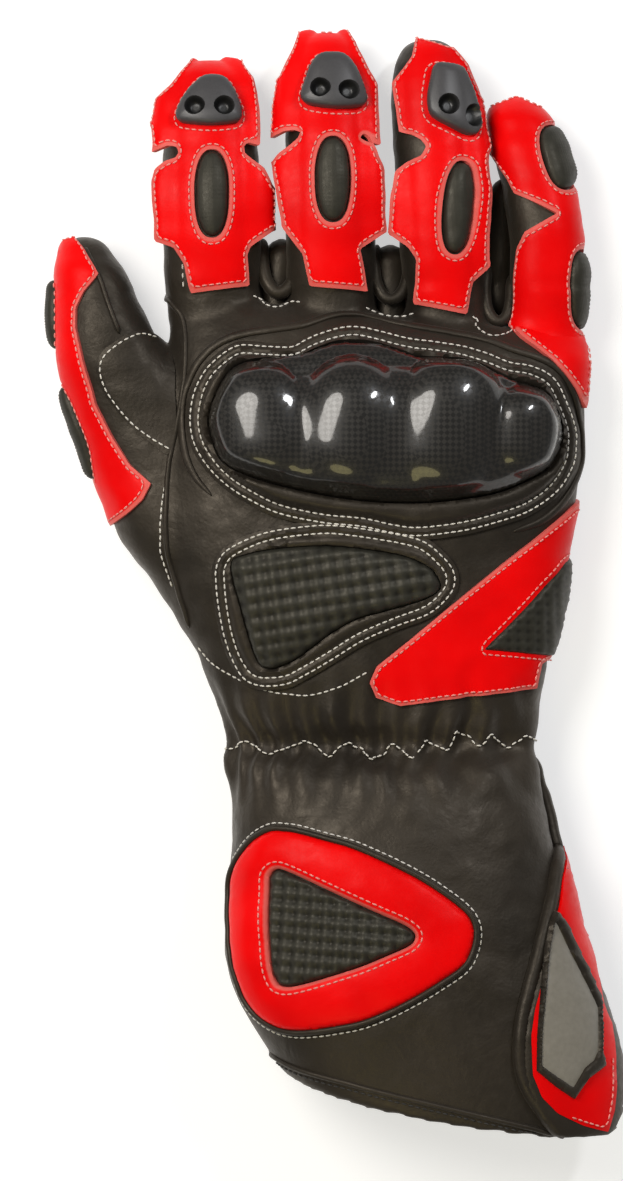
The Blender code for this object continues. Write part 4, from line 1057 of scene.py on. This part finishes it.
PAD_CROWN, PAD_REACH = 0.0024, 0.0042
HATCH, HATCH_DEPTH, RELIEF_EASE = 0.0017, 0.00016, 0.001


def hatched(crown):
    """A padded oval with fine slanting ribs pressed into it."""
    def height(places, edge):
        at = as_array(places)
        rise = padded_height(0.0004, crown, PAD_REACH)(places, edge)
        ribs = np.sin(2 * np.pi * (at[:, 0] + at[:, 1]) / HATCH) * np.sin(2 * np.pi * (at[:, 0] - at[:, 1]) / HATCH)
        return rise + HATCH_DEPTH * ribs * np.clip(edge / RELIEF_EASE, 0, 1)
    return height


def pad_in(name, ground, loop, node, crown=PAD_CROWN):
    piece = cut_piece(name, ground, inset(loop, 0.00035), 0, spacing=0.00045, lift=PIECE_LIFT, height=hatched(crown))
    return finished(piece, embossed, node)


LITTLE_ROOT = [
    (513, 329), (520, 337), (534, 348), (551, 362), (563, 375), (574, 389), (585, 408), (589, 392), (590, 366),
    (589, 338),
]
LITTLE_JOIN, ROOT_JOIN = [(519, 341), (588, 345)], [(589, 338), (513, 329)]

for name, pixels in OVERLAY_OUTLINES.items():
    ground = on_finger[name]
    ovals = [flat_loop(ground, oval_line(*oval[:3]), 0.0005) for oval in OVALS[name]]
    cut_overlay(name + "_overlay_cut", ground, cornered(pixels), ovals, [name + "_overlay"],
                joined=LITTLE_JOIN if name == "little" else None)
    for loop, oval in zip(ovals, OVALS[name]):
        pad_in(oval[3] + "_oval", ground, loop, oval[3])
cut_overlay("little_root_cut", on_body, cornered(LITTLE_ROOT), [], ["little_root"], joined=ROOT_JOIN)

# %% [markdown]
# The hard sliders take the rub of the road near the fingertips. Each is a moulded block with a domed top and
# two round wells. The wells are bowls with steep sides, so the light falls on the lower side of each. They
# are rings in the net of triangles, so their rims stay crisp.

# %% Sliders
SLIDERS = {
    "index": ([(201, 82), (212, 80), (224, 82), (232, 90), (238, 101), (242, 113), (241, 122), (234, 125), (210, 127),
               (185, 125), (177, 122), (176, 114), (182, 101), (191, 90)], [(195, 110), (224, 110)]),
    "middle": ([(319, 59), (332, 57), (345, 59), (355, 69), (362, 83), (367, 99), (366, 106), (358, 109), (333, 110),
                (309, 107), (301, 102), (301, 94), (305, 82), (310, 69)], [(320, 92), (348, 94)]),
    "ring": ([(435, 68), (450, 67), (463, 71), (470, 83), (476, 99), (481, 117), (481, 131), (475, 137), (455, 130),
              (434, 120), (428, 112), (427, 98), (430, 82)], [(448, 108), (472, 119)]),
}
WELL_RADIUS, WELL_FLOOR = 0.0028, 0.0003
SLIDER_EDGE, SLIDER_DOME, SLIDER_REACH = 0.0024, 0.0014, 0.0040


def flat_bowl(ground, well):
    """Middle and half sizes in the flat pattern of a well that is round in plan."""
    around = [Vector((0, 0)), Vector((WELL_RADIUS, 0)), Vector((-WELL_RADIUS, 0))]
    middle, right, left = as_array(ground.flat([plan(*well) + step for step in around]))
    return middle, np.array((np.clip((right - left)[0] / 2, 0.7 * WELL_RADIUS, 1.1 * WELL_RADIUS), WELL_RADIUS))


def paint_well_shade(piece, bowls):
    """Painted shade: the plastic of the wells is coloured dark, where shade falls in them."""
    at = pattern_places(piece)
    away = np.min([np.linalg.norm((at - middle) / size, axis=1) for middle, size in bowls], axis=0)
    mark(piece, "groove", np.clip((1.04 - away) / 0.15, 0, 1))


def make_slider(name, pixels, wells):
    ground = under_slider[name]
    bowls = [flat_bowl(ground, well) for well in wells]
    rims = [
        [Vector(middle + radius * size * (math.cos(n * math.pi / 18), math.sin(n * math.pi / 18))) for n in range(36)]
        for middle, size in bowls for radius in (1.1, 1.0, 0.9)
    ]

    def height(places, edge):
        at = as_array(places)
        made = padded_height(SLIDER_EDGE, SLIDER_DOME, SLIDER_REACH)(places, edge)
        for middle, size in bowls:
            away = np.linalg.norm((at - middle) / size, axis=1)
            bowl = WELL_FLOOR + (SLIDER_EDGE + SLIDER_DOME - WELL_FLOOR) * np.clip(away, 0, 1) ** 5
            made = np.where(away < 1.0, np.minimum(made, bowl), made)
        return made

    loop = flat_loop(ground, smooth_line(pixels, 0.0005, True), 0.0005)
    piece = cut_piece(name + "_slider_block", ground, loop, 0, creases=rims, spacing=0.00042,
                      lift=PIECE_LIFT + OVERLAY, height=height, rounding=0.0005, even_ground=True, sharp=60)
    paint_well_shade(piece, bowls)
    pink_seams.append(seam_beside(ground, loop, -0.0013, PIECE_LIFT + OVERLAY))
    return finished(piece, slider_plastic, name + "_slider")


for name, (pixels, wells) in SLIDERS.items():
    make_slider(name, pixels, wells)

# %% [markdown]
# The thumb's overlay runs down its outer side, with two narrow ovals let into it. They stand on the side of
# the tube, where the photograph sees them edge on, so they are placed by a turn round it and not in plan.

# %% Thumb overlay and its ovals
THUMB_OUTLINE = [
    (49, 262), (53, 248), (62, 240), (74, 238), (84, 250), (92, 264), (98, 275), (84, 292), (77, 308), (77, 328),
    (84, 359),
    (97, 404), (113, 436), (131, 465), (152, 484), (144, 500), (130, 513), (113, 524), (98, 515), (72, 460),
    (54, 400), (44, 352), (40, 300), (44, 272),
]
THUMB_OVALS = {"thumb_base_pad": (0.590, 0.0125, -86, 17), "thumb_tip_pad": (0.850, 0.0112, -88, 17)}
THUMB_SEAM = [(84, 246), (92, 262), (101, 282), (109, 306), (115, 322), (120, 334)]


def side_loop(along, half_length, turn, half_turn):
    """A flat oval whose middle is a share along the thumb and a turn round it."""
    station = float(np.interp(THUMB_START - WRIST + along * THUMB_LENGTH, thumb.rows[:, 1], np.arange(thumb.last + 1)))
    middle = Vector((turn * thumb.turn_length, station * thumb.station_length))
    loop = []
    for n in range(72):
        angle = 2 * math.pi * n / 72
        loop.append(middle + Vector((half_turn * thumb.turn_length * math.cos(angle), half_length * math.sin(angle))))
    return even(loop + loop[:1], 0.0005, True)


thumb_loops = {node: side_loop(*sizes) for node, sizes in THUMB_OVALS.items()}
cut_overlay("thumb_overlay_cut", on_thumb, cornered(THUMB_OUTLINE), list(thumb_loops.values()), ["thumb_overlay"])
for node, loop in thumb_loops.items():
    pad_in(node + "_oval", on_thumb, loop, node, 0.0030)

# %% [markdown]
# Between the thumb and the index finger the leather wears first, so a patch of the same black leather is
# sewn over it. A white row of stitches follows its edge, which is the only thing that sets it off.

# %% Thumb patch
PATCH_OUTLINE = [
    (97, 368), (101, 354), (114, 343), (128, 334), (142, 331), (156, 337), (168, 348), (173, 366), (174, 388),
    (176, 415), (174, 440), (168, 455), (152, 444), (134, 429), (117, 410), (103, 390),
]
PATCH_SEAM = [
    (151, 338), (140, 335), (130, 338), (118, 345), (105, 356), (101, 368), (104, 383), (112, 398), (131, 422),
    (151, 438), (167, 448),
]
PATCH_THICKNESS = 0.0009
patch_loop = flat_loop(on_thumb, smooth_line(PATCH_OUTLINE, OUTLINE_STEP, True))
patch = cut_piece("thumb_patch_cut", on_thumb, patch_loop, PATCH_THICKNESS, spacing=0.0012, lift=PIECE_LIFT)
finished(patch, black, "thumb_patch")
white_seams.append(seam(on_thumb, PATCH_SEAM, PIECE_LIFT + PATCH_THICKNESS))

# %% [markdown]
# The knuckle guard is a hard shell moulded with one dome for each knuckle. Its carbon cloth lies under clear
# lacquer, so its shape is read from reflections alone, and the domes have to be really round. Each dome is a
# smooth cap, the caps meet in soft valleys, and the whole falls steeply to the rim.

# %% Knuckle guard
GUARD_OUTLINE = [
    (211, 420), (222, 388), (238, 368), (268, 361), (302, 357), (320, 351), (340, 346), (378, 348), (400, 355),
    (417, 360), (445, 362), (472, 365), (507, 381), (540, 392), (553, 410), (558, 433), (553, 455), (540, 472),
    (499, 492), (460, 500), (417, 504), (375, 503), (334, 498), (290, 489), (252, 478), (228, 466), (217, 449),
]
GUARD_DOMES = [((259, 415), (264, 440), 50, 0.92), ((352, 413), (349, 446), 50, 1.0), ((449, 407), (443, 450), 50, 1.0),
               ((521, 423), (517, 446), 34, 0.80)]
GUARD_RIDGE = ((384, 441), (172, 68))
GUARD_RIM, GUARD_SHELL, GUARD_REACH = 0.0020, 0.0030, 0.0070
DOME_RISE, RIDGE_RISE = 0.0072, 0.0056


def to_segment(at, start, end):
    start, end = np.array(plan(*start)), np.array(plan(*end))
    share = np.clip((at - start) @ (end - start) / ((end - start) @ (end - start)), 0, 1)
    return np.linalg.norm(at - start - share[:, None] * (end - start), axis=1)


def guard_height(places, edge):
    """A dome for each knuckle, run together low down by a ridge that crosses all four."""
    at = as_array(places)
    share = np.clip(edge / GUARD_REACH, 0, 1)
    forms = []
    for start, end, half_width, size in GUARD_DOMES:
        away = to_segment(at, start, end) / (half_width * PIXEL)
        forms.append(DOME_RISE * size * np.clip(1 - away ** 2.2, 0, 1) ** 0.72)
    middle, halves = np.array(plan(*GUARD_RIDGE[0])), np.array(GUARD_RIDGE[1]) * PIXEL
    away = np.linalg.norm((at - middle) / halves, axis=1)
    forms.append(RIDGE_RISE * np.clip(1 - away ** 2.4, 0, 1) ** 0.85)
    domes = sum(form ** 5 for form in forms) ** 0.2
    return GUARD_RIM + GUARD_SHELL * np.sqrt(1 - (1 - share) ** 2) + domes * np.minimum(1, share * 1.6)


guard_loop = smooth_line(GUARD_OUTLINE, 0.0007, True)
guard = cut_piece("carbon_guard", on_body, guard_loop, 0, spacing=0.0009, lift=PIECE_LIFT, height=guard_height,
                  rounding=0.0006, sharp=75, even_ground=True)
finished(guard, carbon, "knuckle_guard")
print("guard height in mm:", round(1000 * guard.dimensions.z, 1))

# %% [markdown]
# A collar of black leather holds the guard down. It is padded where it presses on the shell, and two rows of
# white stitches with a low ridge between them run round it.

# %% Collars with two rows of stitches
GUARD_SEWN = [
    (192, 425), (196, 396), (206, 374), (222, 358), (240, 348), (265, 349), (291, 350), (305, 343), (318, 337),
    (337, 332), (356, 331), (382, 336), (408, 342), (436, 345), (463, 350), (486, 357), (507, 365), (530, 369),
    (550, 379), (563, 400), (573, 428), (573, 448), (568, 467), (552, 492), (528, 510), (499, 521), (460, 531),
    (417, 536), (390, 533), (362, 527), (322, 523), (280, 514), (254, 502), (230, 487), (212, 470), (198, 448),
]
ROW_GAP, ROW_CLEAR, SELVEDGE = 0.0023, 0.0004, 0.0013
BAND, BAND_RIDGE, ROW_DENT, ROLL_START = 0.0012, 0.00045, 0.0003, 0.0012


def collar_height(inner_loop, sewn_loop, roll):
    """A padded roll against the inner edge, then a low band with a ridge between the two rows."""
    def height(places, edge):
        near = distances(places, [inner_loop])
        from_rows = distances(places, [sewn_loop])
        sign = np.where(inside(places, [sewn_loop]), 1.0, -1.0)
        depth = from_rows * sign
        past = depth - ROW_GAP - ROW_CLEAR
        flat = BAND + BAND_RIDGE * np.exp(-((depth - ROW_GAP / 2) / 0.0006) ** 2)
        for row in (depth, depth - ROW_GAP):
            flat = flat - ROW_DENT * np.exp(-(row / ROW_CLEAR) ** 2)
        share = np.clip(near / np.maximum(near + np.maximum(past, 0), 1e-5), 0, 1)
        bulge = roll * np.sqrt(np.clip(1 - (2 * share - 0.75) ** 2 / 1.6, 0, 1))
        swell = BAND + bulge * np.clip(past / ROLL_START, 0, 1)
        return np.where(past > 0, np.maximum(flat, swell), flat)
    return height


def make_collar(name, inner_loop, sewn_loop, roll, node):
    outer = inset(sewn_loop, -SELVEDGE)
    piece = cut_piece(name, on_body, outer, 0, holes=[inner_loop], spacing=0.0009, lift=PIECE_LIFT,
                      height=collar_height(inner_loop, sewn_loop, roll), rounding=0.0004)
    finished(piece, black, node)
    white_seams.append(seam_beside(on_body, sewn_loop, 0.0, PIECE_LIFT + 0.0010))
    white_seams.append(seam_beside(on_body, sewn_loop, ROW_GAP, PIECE_LIFT + 0.0010))
    return piece


guard_sewn = smooth_line(GUARD_SEWN, 0.0007, True)
make_collar("guard_collar", inset(guard_loop, -0.0001), guard_sewn, 0.0024, "knuckle_roll")
COLLAR_FOLD = [
    (212, 496), (196, 478), (186, 456), (181, 430), (183, 400), (192, 374), (206, 354), (224, 341), (246, 334),
    (272, 330), (300, 325), (326, 317), (352, 315), (384, 319), (414, 326), (446, 331), (478, 338), (510, 349),
    (540, 359), (560, 371), (575, 394), (583, 422), (584, 450), (578, 476), (562, 502), (540, 521), (512, 532),
]

# %% [markdown]
# Below the guard lies a padded panel. Its leather is pressed into a weave: rows of small round cushions, with
# a deep groove between each and the next. The same pressed leather fills the triangles at the side of the
# hand and on the cuff.

# %% Woven relief
def woven(at, turn, cell):
    """Relief of the weave from 0 to 1: round cushions on a square grid that is turned by some degrees."""
    lean = math.radians(turn)
    across = (at[:, 0] * math.cos(lean) + at[:, 1] * math.sin(lean)) / cell
    along = (-at[:, 0] * math.sin(lean) + at[:, 1] * math.cos(lean)) / cell
    return (0.5 + 0.25 * (np.cos(2 * np.pi * across) + np.cos(2 * np.pi * along))) ** 0.8


def woven_pad(name, loop, node, turn, cell, depth, padding, spacing, lift=PIECE_LIFT):
    """A pad of pressed leather, with painted shade in the grooves between its cushions."""
    def height(places, edge):
        relief = depth * woven(as_array(places), turn, cell) * np.clip(edge / RELIEF_EASE, 0, 1)
        return padded_height(*padding)(places, edge) + relief

    piece = cut_piece(name, on_body, loop, 0, spacing=spacing, lift=lift, height=height)
    # Painted shade in the grooves between the cushions.
    mark(piece, "groove", np.clip(1 - 1.7 * woven(pattern_places(piece), turn, cell), 0, 1))
    return finished(piece, embossed, node)


BACK_PAD = [
    (233, 561), (249, 554), (268, 550), (298, 547), (330, 546), (362, 549), (394, 554), (414, 560), (430, 569),
    (438, 580), (438, 590), (422, 600), (388, 610), (356, 619), (328, 635), (302, 655), (286, 664), (272, 668),
    (260, 662), (250, 636), (241, 604), (234, 580),
]
BACK_SEWN = [
    (218, 580), (219, 565), (227, 552), (246, 541), (268, 533), (298, 528), (330, 526), (366, 530), (402, 536),
    (424, 543), (441, 557), (451, 570), (453, 583), (447, 596), (428, 613), (394, 626), (362, 640), (330, 660),
    (306, 674), (287, 683), (260, 684), (243, 674), (230, 648), (222, 616),
]
back_loop = smooth_line(BACK_PAD, 0.0006, True)
woven_pad("back_pad_woven", back_loop, "back_pad", 9, 0.0040, 0.0009, (0.0008, 0.0024, 0.0070), 0.00045)
make_collar("back_collar", inset(back_loop, -0.0001), smooth_line(BACK_SEWN, 0.0007, True), 0.0007, "back_roll")

# %% [markdown]
# A red band starts at the wrist elastic and climbs to the outer edge of the hand. A woven triangle is let
# into it, with a raw pink edge all round.

# %% Side band and its triangle
SIDE_BAND = [
    (588, 498), (578, 500), (555, 521), (528, 543), (501, 564), (474, 586), (448, 607), (412, 637), (376, 666),
    (369, 682), (377, 698), (400, 705), (444, 699), (488, 694), (534, 688), (539, 663), (552, 655), (566, 635),
    (571, 600), (580, 560), (588, 530),
]
SIDE_TRIANGLE = [
    (571, 556), (562, 562), (536, 592), (508, 622), (482, 649), (516, 652), (549, 655), (561, 626), (568, 590),
]
band_line = cornered(SIDE_BAND)
triangle_line = cornered(SIDE_TRIANGLE)
cut_overlay("side_band_cut", on_body, band_line, [], ["side_band"])
woven_pad("side_triangle_woven", flat_loop(on_body, triangle_line, 0.0006), "side_pad", 0, 0.0026, 0.0004,
          (0.0003, 0.0006, 0.003), 0.0006, PIECE_LIFT + OVERLAY)
pink_seams.append(seam_beside(on_body, flat_loop(on_body, triangle_line), -0.0013, PIECE_LIFT + OVERLAY))

# %% [markdown]
# The cuff carries a red ring with a woven triangle in it. Black piping is caught in the seam round the ring,
# and a row of white stitches runs just outside it. Piping is a thin cord wrapped in leather, so it is swept
# along its path with a round section.

# %% Piping and rolled edges
PIPE_SIDES, RIDGE_STEP, UP = 10, 0.0008, (0.0, 0.0, 1.0)


def unit(rows):
    return rows / np.maximum(np.linalg.norm(rows, axis=1), 1e-9)[:, None]


def cord(name, centre, up, radius, nodes=(), closed=False, squash=1.0, taper=0.0):
    """A cord of black leather along a path in space. Its ends close to a point, and taper thins them."""
    up = unit(np.broadcast_to(up, centre.shape))
    run = np.roll(centre, -1, axis=0) - np.roll(centre, 1, axis=0) if closed else np.gradient(centre, axis=0)
    side = unit(np.cross(unit(run), up))
    count = len(centre)
    share = np.minimum(np.arange(count), np.arange(count)[::-1]) / max(1.0, taper * count) if taper else np.ones(count)
    size = radius * np.sqrt(np.clip(1 - (1 - np.clip(share, 0, 1)) ** 2, 0.02, 1))
    angles = (np.arange(PIPE_SIDES) * 2 * np.pi / PIPE_SIDES)[:, None]
    points, faces = loft([
        centre[n] + size[n] * (np.cos(angles) * side[n] + squash * np.sin(angles) * up[n]) for n in range(count)
    ], closed)
    points[:, 2] = np.maximum(points[:, 2], 0.0)
    piece = mesh_object(name, points, faces)
    piece.data.shade_smooth()
    return finished(piece, black, *nodes)


def sweep(name, ground, flats, lift, radius, **form):
    """A cord along a flat path on a ground."""
    centre = ground.lay(flats, lift)
    return cord(name, centre, ground.lay(flats, lift + 0.001) - centre, radius, **form)


def ridge(name, ground, pixels, lift, radius, **form):
    """A cord along a row of pixels."""
    return sweep(name, ground, even(ground.flat(smooth_line(pixels, RIDGE_STEP)), RIDGE_STEP), lift, radius, **form)


# %% Cuff ring
RING = [
    (233, 922), (233, 896), (236, 873), (242, 858), (251, 845), (261, 836), (273, 830), (286, 830), (300, 832),
    (326, 839), (351, 846), (384, 860), (416, 876), (437, 889), (456, 903), (467, 915), (471, 929), (468, 946),
    (459, 961), (439, 975), (416, 989), (389, 1003), (362, 1014), (335, 1020), (308, 1024), (290, 1024),
    (275, 1020), (260, 1010), (249, 996), (243, 982), (237, 963), (234, 942),
]
RING_TRIANGLE = [
    (270, 886), (271, 874), (278, 867), (289, 869), (318, 882), (346, 895), (377, 909), (400, 919), (411, 926),
    (414, 933), (408, 941), (386, 951), (362, 961), (332, 971), (302, 980), (286, 982), (277, 976), (272, 956),
    (270, 922),
]
RING_EDGE, RING_CROWN, RING_REACH = 0.0012, 0.0014, 0.0085
ring_loop = smooth_line(RING, OUTLINE_STEP, True)
triangle_loop = smooth_line(RING_TRIANGLE, OUTLINE_STEP, True)
ring = cut_piece("cuff_ring_cut", on_body, ring_loop, 0, holes=[triangle_loop], spacing=0.0010, lift=PIECE_LIFT,
                 height=padded_height(RING_EDGE, RING_CROWN, RING_REACH), raw=[triangle_loop])
finished(ring, red, "cuff_ring")
woven_pad("cuff_triangle_woven", inset(triangle_loop, 0.0003), "cuff_triangle", -4, 0.0037, 0.0011,
          (0.0008, 0.0004, 0.003), 0.00045)
pink_seams.append(seam_beside(on_body, triangle_loop, -0.0018, PIECE_LIFT + RING_EDGE + 0.0008))
sweep("cuff_piping_cord", on_body, inset(ring_loop, -0.0008), 0.0009, 0.0009, nodes=["cuff_piping"], closed=True)
white_seams.append(seam_beside(on_body, ring_loop, -0.0024, 0.0))

# %% [markdown]
# The cuff closes with a tab at its outer edge. The tab has a black binding, a red inset and a smooth grey
# plate in a black corded frame. Beside it the upper panel of the cuff ends in a rolled edge.

# %% Closing tab
TAB = [
    (557, 846), (563, 850), (570, 878), (580, 912), (596, 978), (606, 1001), (614, 1026), (620, 1050), (621, 1080),
    (616, 1110), (607, 1131), (594, 1142), (575, 1146), (552, 1132), (530, 1104), (518, 1068), (518, 1030),
    (526, 990), (540, 945), (549, 905), (552, 866),
]
TAB_INSET = [
    (558, 849), (563, 853), (567, 880), (576, 914), (590, 984), (593, 1004), (601, 1024), (605, 1056), (606, 1084),
    (604, 1106), (598, 1127), (575, 1119), (551, 1106), (536, 1090), (527, 1068), (525, 1030), (528, 1005),
    (535, 976), (545, 935), (551, 905), (553, 880), (556, 862),
]
TAB_FRAME = [
    (551, 914), (556, 916), (566, 933), (581, 965), (596, 1003), (598, 1030), (598, 1052), (602, 1066), (586, 1077),
    (573, 1096), (555, 1083), (537, 1067), (537, 1030), (539, 995), (543, 950), (547, 925),
]
TAB_PLATE = [
    (552, 926), (562, 947), (577, 979), (591, 1012), (592, 1032), (592, 1052), (589, 1060), (581, 1066), (571, 1084),
    (556, 1073), (542, 1062), (542, 1030), (544, 1000), (547, 962),
]
TAB_SEAM = [(601, 1060), (601, 1086), (599, 1104), (594, 1120), (581, 1117), (566, 1111)]
TAB_LIFT, TAB_HEIGHT, INSET_HEIGHT, PLATE_HEIGHT = PIECE_LIFT + 0.0009, 0.0016, 0.0009, 0.0009
tab_line = smooth_line(TAB, OUTLINE_STEP, True)
tab = cut_piece("tab_binding", on_body, flat_loop(on_body, tab_line), 0, spacing=0.0012, lift=TAB_LIFT,
                height=padded_height(0.0008, 0.0012, 0.0020))
finished(tab, black, "tab")
inset_line = cornered(TAB_INSET)
INSET_LIFT = TAB_LIFT + TAB_HEIGHT
tab_inset = cut_piece("tab_inset_cut", on_body, flat_loop(on_body, inset_line), INSET_HEIGHT, spacing=0.0012,
                      lift=INSET_LIFT, raw=[])
finished(tab_inset, red, "tab_inset")
pink_seams.append(seam(on_body, TAB_SEAM, INSET_LIFT + INSET_HEIGHT))
PLATE_LIFT = INSET_LIFT + INSET_HEIGHT
frame_loop, plate_loop = [
    flat_loop(on_body, cornered([(px - 7, py - 3) for px, py in line])) for line in (TAB_FRAME, TAB_PLATE)
]
frame = cut_piece("tab_plate_frame", on_body, frame_loop, 0, holes=[plate_loop], spacing=0.0007, lift=PLATE_LIFT,
                  height=padded_height(0.0006, 0.0008, 0.0009))
finished(frame, black)
plate = cut_piece("tab_plate_plain", on_body, inset(plate_loop, -0.0002), PLATE_HEIGHT, spacing=0.0012, lift=PLATE_LIFT)
finished(plate, plate_grey, "tab_plate")

# %% Rolled edge of the cuff's upper panel
FLAP_EDGE = [
    (541, 752), (548, 772), (553, 793), (556, 814), (556, 842), (553, 868), (550, 890), (545, 911), (535, 950),
    (524, 989), (518, 1016), (516, 1043), (518, 1064), (525, 1084), (541, 1108), (562, 1133),
]
ridge("flap_edge_roll", on_body, FLAP_EDGE, 0.0010, 0.0021, taper=0.06)

# %% [markdown]
# White thread also draws the seams of the hand: down its inner edge, in a U round the foot of each slot
# between the fingers, along the lower panel, and in a zigzag over the wrist elastic. A zigzag stretches with
# the elastic, which a straight row would not. A rolled edge of leather lines each slot, and strips of the
# same leather join the sides of the fingers there. Turned seams stand up as low ridges.

# %% Seams of the hand
INNER_SEAM = [
    (176, 268), (181, 305), (186, 345), (184, 385), (177, 425), (170, 465), (167, 508), (169, 550), (177, 590),
    (189, 628),
]
LOWER_SEAM = [(199, 650), (212, 664), (234, 677), (268, 690), (292, 694), (314, 694), (342, 685), (364, 673)]
SLOT_SEAMS = [
    [(249, 284), (254, 294), (262, 302), (272, 306), (284, 304), (294, 297), (302, 286)],
    [(364, 292), (368, 301), (377, 309), (389, 314), (401, 312), (409, 305), (413, 296)],
    [(468, 306), (470, 317), (478, 329), (490, 336), (504, 334), (514, 328)],
]
ZIGZAG = [
    (229, 753), (246, 739), (263, 753), (283, 751), (307, 738), (329, 755), (351, 740), (371, 759), (392, 742),
    (411, 760), (426, 739), (446, 752), (460, 731), (479, 747), (490, 732), (507, 748), (524, 734), (541, 748),
]
INNER_ROWS = [[(168, 476), (163, 508), (164, 550), (171, 584)], [(181, 290), (182, 305), (184, 322)]]
INDEX_ROW = [(179, 258), (180, 270), (181, 284)]
CROTCHES = {
    "index_middle": (0.0020, [
        (263, 236), (262, 256), (265, 276), (274, 290), (284, 290), (293, 279), (297, 262), (298, 240),
    ]),
    "middle_ring": (0.0018, [
        (378, 242), (375, 262), (377, 282), (385, 296), (396, 297), (405, 286), (409, 268), (408, 248),
    ]),
    "ring_little": (0.0018, [(489, 262), (486, 285), (488, 308), (497, 320), (507, 316), (512, 298), (513, 272)]),
}
WEBS = {
    "index_middle": (0.0052, 0.0105, [(281, 236), (281, 262), (277, 290), (277, 318), (277, 336)]),
    "middle_ring": (0.0056, 0.0105, [(391, 242), (391, 268), (392, 296), (391, 322), (391, 340)]),
    "ring_little": (0.0042, 0.0095, [(503, 176), (503, 215), (501, 262), (499, 318)]),
}
HEM_FOLD = [
    (262, 1048), (276, 1056), (300, 1066), (345, 1077), (389, 1088), (440, 1100), (490, 1112), (530, 1122),
    (552, 1129),
]
CROTCH_TOP, CROTCH_DROP, ZIGZAG_STEP = 0.0185, 0.0065, 0.0004


def crotch_path(pixels):
    """A U round the foot of a slot: highest where it crosses the hand, and falling between the fingers."""
    line = as_array(smooth_line(pixels, OUTLINE_STEP))
    depth = line[:, 1] - line[:, 1].min()
    return np.column_stack([line, CROTCH_TOP - CROTCH_DROP * (depth / depth.max()) ** 1.3])


for name, (radius, pixels) in CROTCHES.items():
    cord(name + "_crotch_roll", crotch_path(pixels), UP, radius, taper=0.12)
for name, (radius, height, pixels) in WEBS.items():
    cord(name + "_web", np.array([(*p, height) for p in smooth_line(pixels, RIDGE_STEP)]), UP, radius, taper=0.2)
ridge("thumb_seam_ridge", on_thumb, THUMB_SEAM, 0.0001, 0.0008, taper=0.05)
ridge("hem_fold_ridge", on_body, HEM_FOLD, 0.0001, 0.0008, taper=0.03)
ridge("inner_seam_ridge", on_body, INNER_SEAM, 0.0001, 0.0008, taper=0.03)
ridge("collar_fold_ridge", on_body, COLLAR_FOLD, 0.0001, 0.0013, squash=0.55, taper=0.08)
white_seams.append(seam(on_body, LOWER_SEAM, 0.0))
white_seams += [seam(on_body, row, 0.0) for row in INNER_ROWS]
white_seams.append(seam(on_finger["index"], INDEX_ROW, 0.0))
white_seams += [seam(on_body, slot, 0.0) for slot in SLOT_SEAMS]
zigzag = on_body.lay(on_body.flat(even(outline(ZIGZAG), ZIGZAG_STEP)), 4 * THREAD_LIFT)
white_seams.append(as_array(even([Vector(p) for p in zigzag], SEAM_SPACING / 2)))
black_seams = [seam(on_body, [(px + 1, py + 6) for px, py in HEM_FOLD[1:-1]], 0.0)]

# %% Sew everything
sew("white_stitching", white_seams, white_thread)
sew("pink_stitching", pink_seams, pink_thread)
sew("black_stitching", black_seams, black_thread)

# %% [markdown]
# The camera looks straight down, as the photograph does, from far enough away that the glove shows hardly
# any of its sides. Broad soft lights stand round it, and two of them are placed so that their reflections
# lie on the upper left of each dome of the knuckle guard.

# %% Camera, floor and light
LENS, SENSOR = 180.0, 36.0
FOCUS_HEIGHT, FLOOR_REACH, FLOOR_DROP = 0.025, 1.6, 0.0003
PALE, PALER = (0.60, 0.60, 0.60), (0.62, 0.62, 0.62)


def put_camera():
    data = bpy.data.cameras.new("camera")
    data.lens, data.sensor_width, data.sensor_height, data.sensor_fit = LENS, SENSOR, SENSOR, "AUTO"
    data.clip_start, data.clip_end = 0.1, 20.0
    made = placed("camera", data)
    middle = plan(PHOTO_WIDTH / 2, PHOTO_HEIGHT / 2)
    made.location = (*middle, FOCUS_HEIGHT + LENS / SENSOR * PHOTO_HEIGHT * PIXEL)
    bpy.context.scene.camera = made


def put_light(name, place, aim, size, tall, watts, colour):
    data = bpy.data.lights.new(name, "AREA")
    data.shape, data.size, data.size_y = "ELLIPSE", size, tall
    data.energy, data.color = watts, colour
    made = placed(name, data)
    made.location = place
    made.rotation_euler = (Vector(aim) - Vector(place)).to_track_quat("-Z", "Y").to_euler()


def put_floor():
    mesh = bpy.data.meshes.new("floor")
    signs = [(-1, -1), (1, -1), (1, 1), (-1, 1)]
    mesh.from_pydata([(x * FLOOR_REACH, y * FLOOR_REACH, -FLOOR_DROP) for x, y in signs], [], [(0, 1, 2, 3)])
    made = placed("floor", mesh)
    finish, tree, shader = new_finish("pale_floor", {
        "Roughness": 0.9, "Specular IOR Level": 0.1, "Emission Color": (1, 1, 1, 1), "Emission Strength": 0.56,
    })
    wire(tree, shader, {"Base Color": blend(tree, cloud(tree, object_places(tree), 3.0, 1.0), PALE, PALER)})
    mesh.materials.append(finish)


def light_the_room():
    world = bpy.data.worlds.new("studio")
    bpy.context.scene.world = world
    world.use_nodes = True
    wire(world.node_tree, world.node_tree.nodes["Background"], {"Color": (1, 1, 1, 1), "Strength": 0.24})
    put_light("key", (-0.45, 0.35, 0.85), (0, 0, 0), 0.54, 0.44, 7.2, (1.0, 0.96, 0.90))
    put_light("fill", (0.50, 0.62, 0.80), (0, 0, 0), 0.09, 0.26, 3.4, (0.97, 0.98, 1.0))
    put_light("low", (-0.24, -0.66, 0.86), (0, -0.05, 0), 0.56, 0.34, 1.5, (1.0, 0.88, 0.40))


put_camera()
put_floor()
light_the_room()
bpy.context.scene.view_settings.view_transform = "Standard"
